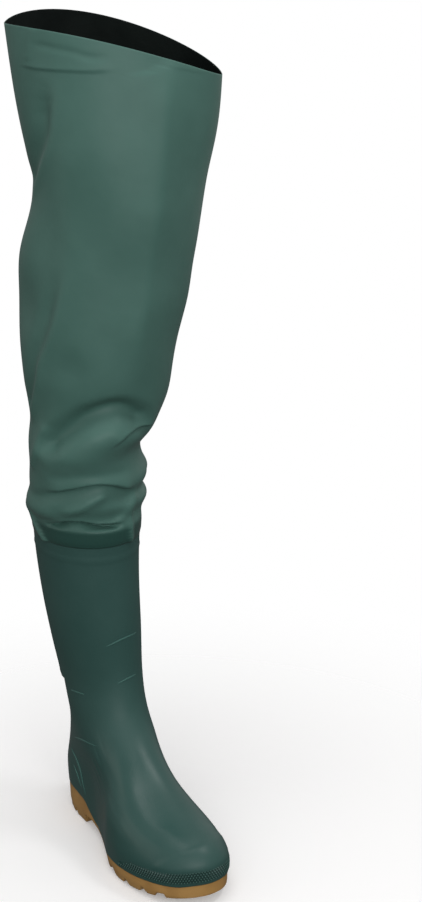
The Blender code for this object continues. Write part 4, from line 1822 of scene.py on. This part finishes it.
@dataclass
class Studio:
    """A pale floor that runs out to white, soft lights and the camera."""

    floor_radius: float = 3.2
    floor_sides: int = 96
    floor_drop: float = 0.0002
    floor_colour: Colour = (0.95, 0.94, 0.938)
    floor_glow: float = 0.18
    floor_roughness: float = 0.9
    floor_specular: float = 0.1
    fade_centre: Place = (0.0, -0.12, 0.0)
    fade_start: float = 0.06
    fade_end: float = 0.75
    camera_place: Place = (-0.752, -1.635, 1.043)
    azimuth: float = math.radians(29.27)
    pitch: float = math.radians(18.17)
    roll: float = math.radians(-0.54)
    focal_pixels: float = 1640.0
    image_height: float = 902.0
    sensor: float = 36.0
    clip: Span = (0.05, 60.0)
    ambient_top: float = 0.45
    ambient_side: float = 0.30
    ambient_low: float = 0.10
    sky_range: Span = (0.0, 0.9)
    ground_range: Span = (-0.35, 0.05)
    lights: tuple[SoftLight, ...] = (
        SoftLight("overhead", (0.86, -0.61, 2.10), (0.0, -0.15, 0.12), (0.50, 0.38), 9.5),
        SoftLight("ceiling", (-0.38, -0.44, 2.40), (0.0, -0.15, 0.10), (1.10, 0.75), 1.2, mirrored=False),
        SoftLight("instep", (-0.30, -0.34, 2.30), (0.0, -0.15, 0.10), (0.80, 0.50), 2.9),
        SoftLight("toe", (-0.75, -2.40, 1.30), (0.0, -0.25, 0.05), (1.80, 0.50), 4.0),
        SoftLight("front", (-0.95, -2.62, 1.45), (0.0, -0.05, 0.60), (4.20, 2.60), 1.02, mirrored=False),
        SoftLight("outer_side", (-2.20, 0.45, 1.10), (0.0, 0.0, 0.55), (1.00, 1.80), 0.5, (1.0, 0.93, 0.86)),
        SoftLight("inner_side", (2.00, 0.70, 1.00), (0.0, 0.0, 0.50), (1.40, 1.80), 0.25, (1.0, 0.95, 0.90)),
    )

    def build(self) -> None:
        """Lays the floor, hangs the lights and sets the camera."""
        self.lay_floor()
        self.set_world()
        for light in self.lights:
            light.build()
        self.set_camera()
        view = bpy.context.scene.view_settings
        view.view_transform = "Standard"
        view.look = "None"

    def lay_floor(self) -> None:
        """Lays a round floor that is pale by the wader and clears into the white behind it."""
        bm = bmesh.new()
        bmesh.ops.create_circle(bm, cap_ends=True, segments=self.floor_sides, radius=self.floor_radius)
        bmesh.ops.translate(bm, verts=bm.verts, vec=(0.0, 0.0, -self.floor_drop))
        mesh = mesh_of("studio_floor", bm)
        floor = placed(mesh.name, mesh)
        material = bpy.data.materials.new("pale_floor")
        material.use_nodes = True
        sheet = NodeSheet(material.node_tree)
        shader = material.node_tree.nodes["Principled BSDF"]
        fixed = {
            "Base Color": (*self.floor_colour, 1.0),
            "Roughness": self.floor_roughness,
            "Emission Color": (*WHITE, 1.0),
            "Emission Strength": self.floor_glow,
            "Specular IOR Level": self.floor_specular,
        }
        sheet.fill(shader, fixed)
        away = sheet.add("ShaderNodeVectorMath", {1: self.fade_centre}, operation="DISTANCE")
        sheet.join(sheet.add("ShaderNodeTexCoord").outputs["Object"], away.inputs[0])
        fade = sheet.ramp(away.outputs["Value"], self.fade_start, self.fade_end)
        clear = sheet.add("ShaderNodeBsdfTransparent")
        mixed = sheet.blend(fade, shader.outputs["BSDF"], clear.outputs["BSDF"])
        sheet.join(mixed, material.node_tree.nodes["Material Output"].inputs["Surface"])
        mesh.materials.append(material)
        floor.visible_diffuse = False
        floor.visible_glossy = False

    def set_world(self) -> None:
        """Makes the room: white where the camera sees it, and as light brighter overhead than beside."""
        world = bpy.data.worlds.new("studio_room")
        bpy.context.scene.world = world
        world.use_nodes = True
        sheet = NodeSheet(world.node_tree)
        axes = sheet.add("ShaderNodeSeparateXYZ")
        sheet.join(sheet.add("ShaderNodeTexCoord").outputs["Generated"], axes.inputs["Vector"])
        height = axes.outputs["Z"]
        sky = sheet.ramp(height, *self.sky_range, (self.ambient_side, self.ambient_top))
        ground = sheet.ramp(height, *self.ground_range, (self.ambient_low - self.ambient_side, 0.0))
        light = world.node_tree.nodes["Background"]
        sheet.fill(light, {"Color": (*WHITE, 1.0)})
        sheet.join(sheet.total(sky, ground), light.inputs["Strength"])
        seen = sheet.add("ShaderNodeBackground", {"Color": (*WHITE, 1.0)})
        camera_ray = sheet.add("ShaderNodeLightPath").outputs["Is Camera Ray"]
        mixed = sheet.blend(camera_ray, light.outputs["Background"], seen.outputs["Background"])
        sheet.join(mixed, world.node_tree.nodes["World Output"].inputs["Surface"])

    def set_camera(self) -> None:
        """Sets the camera, its lens given by the focal length in pixels of the picture's height."""
        level = math.cos(self.pitch)
        aside, ahead = -math.sin(self.azimuth) * level, -math.cos(self.azimuth) * level
        back = Vector((aside, ahead, math.sin(self.pitch)))
        right = (-back).cross(Vector((0.0, 0.0, 1.0))).normalized()
        up = right.cross(-back)
        turned_right = math.cos(self.roll) * right + math.sin(self.roll) * up
        turned_up = math.cos(self.roll) * up - math.sin(self.roll) * right
        data = bpy.data.cameras.new("camera")
        data.sensor_width = self.sensor
        data.lens = self.focal_pixels / self.image_height * self.sensor
        data.clip_start, data.clip_end = self.clip
        camera = placed("camera", data)
        turn = Matrix((turned_right, turned_up, back)).transposed()
        camera.matrix_world = Matrix.Translation(self.camera_place) @ turn.to_4x4()
        bpy.context.scene.camera = camera


def main() -> None:
    """Builds the studio and the wader's pieces in order and notes their sizes."""
    logging.basicConfig(level=logging.INFO, format="%(name)s %(message)s")
    Studio().build()
    groups = SurfaceGroups()
    plan = FootPlan()
    boot = MouldedBoot(plan)
    for assembly in (CleatedSole(plan), boot, ThighLeg(boot)):
        for piece in assembly.build(groups):
            LOG.info("%s: %d faces", piece.name, len(piece.data.polygons))
    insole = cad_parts["insole"]
    insole.data.materials.clear()
    insole.data.materials.append(INSOLE_FELT.make(groups))


if __name__ == "__main__":
    main()
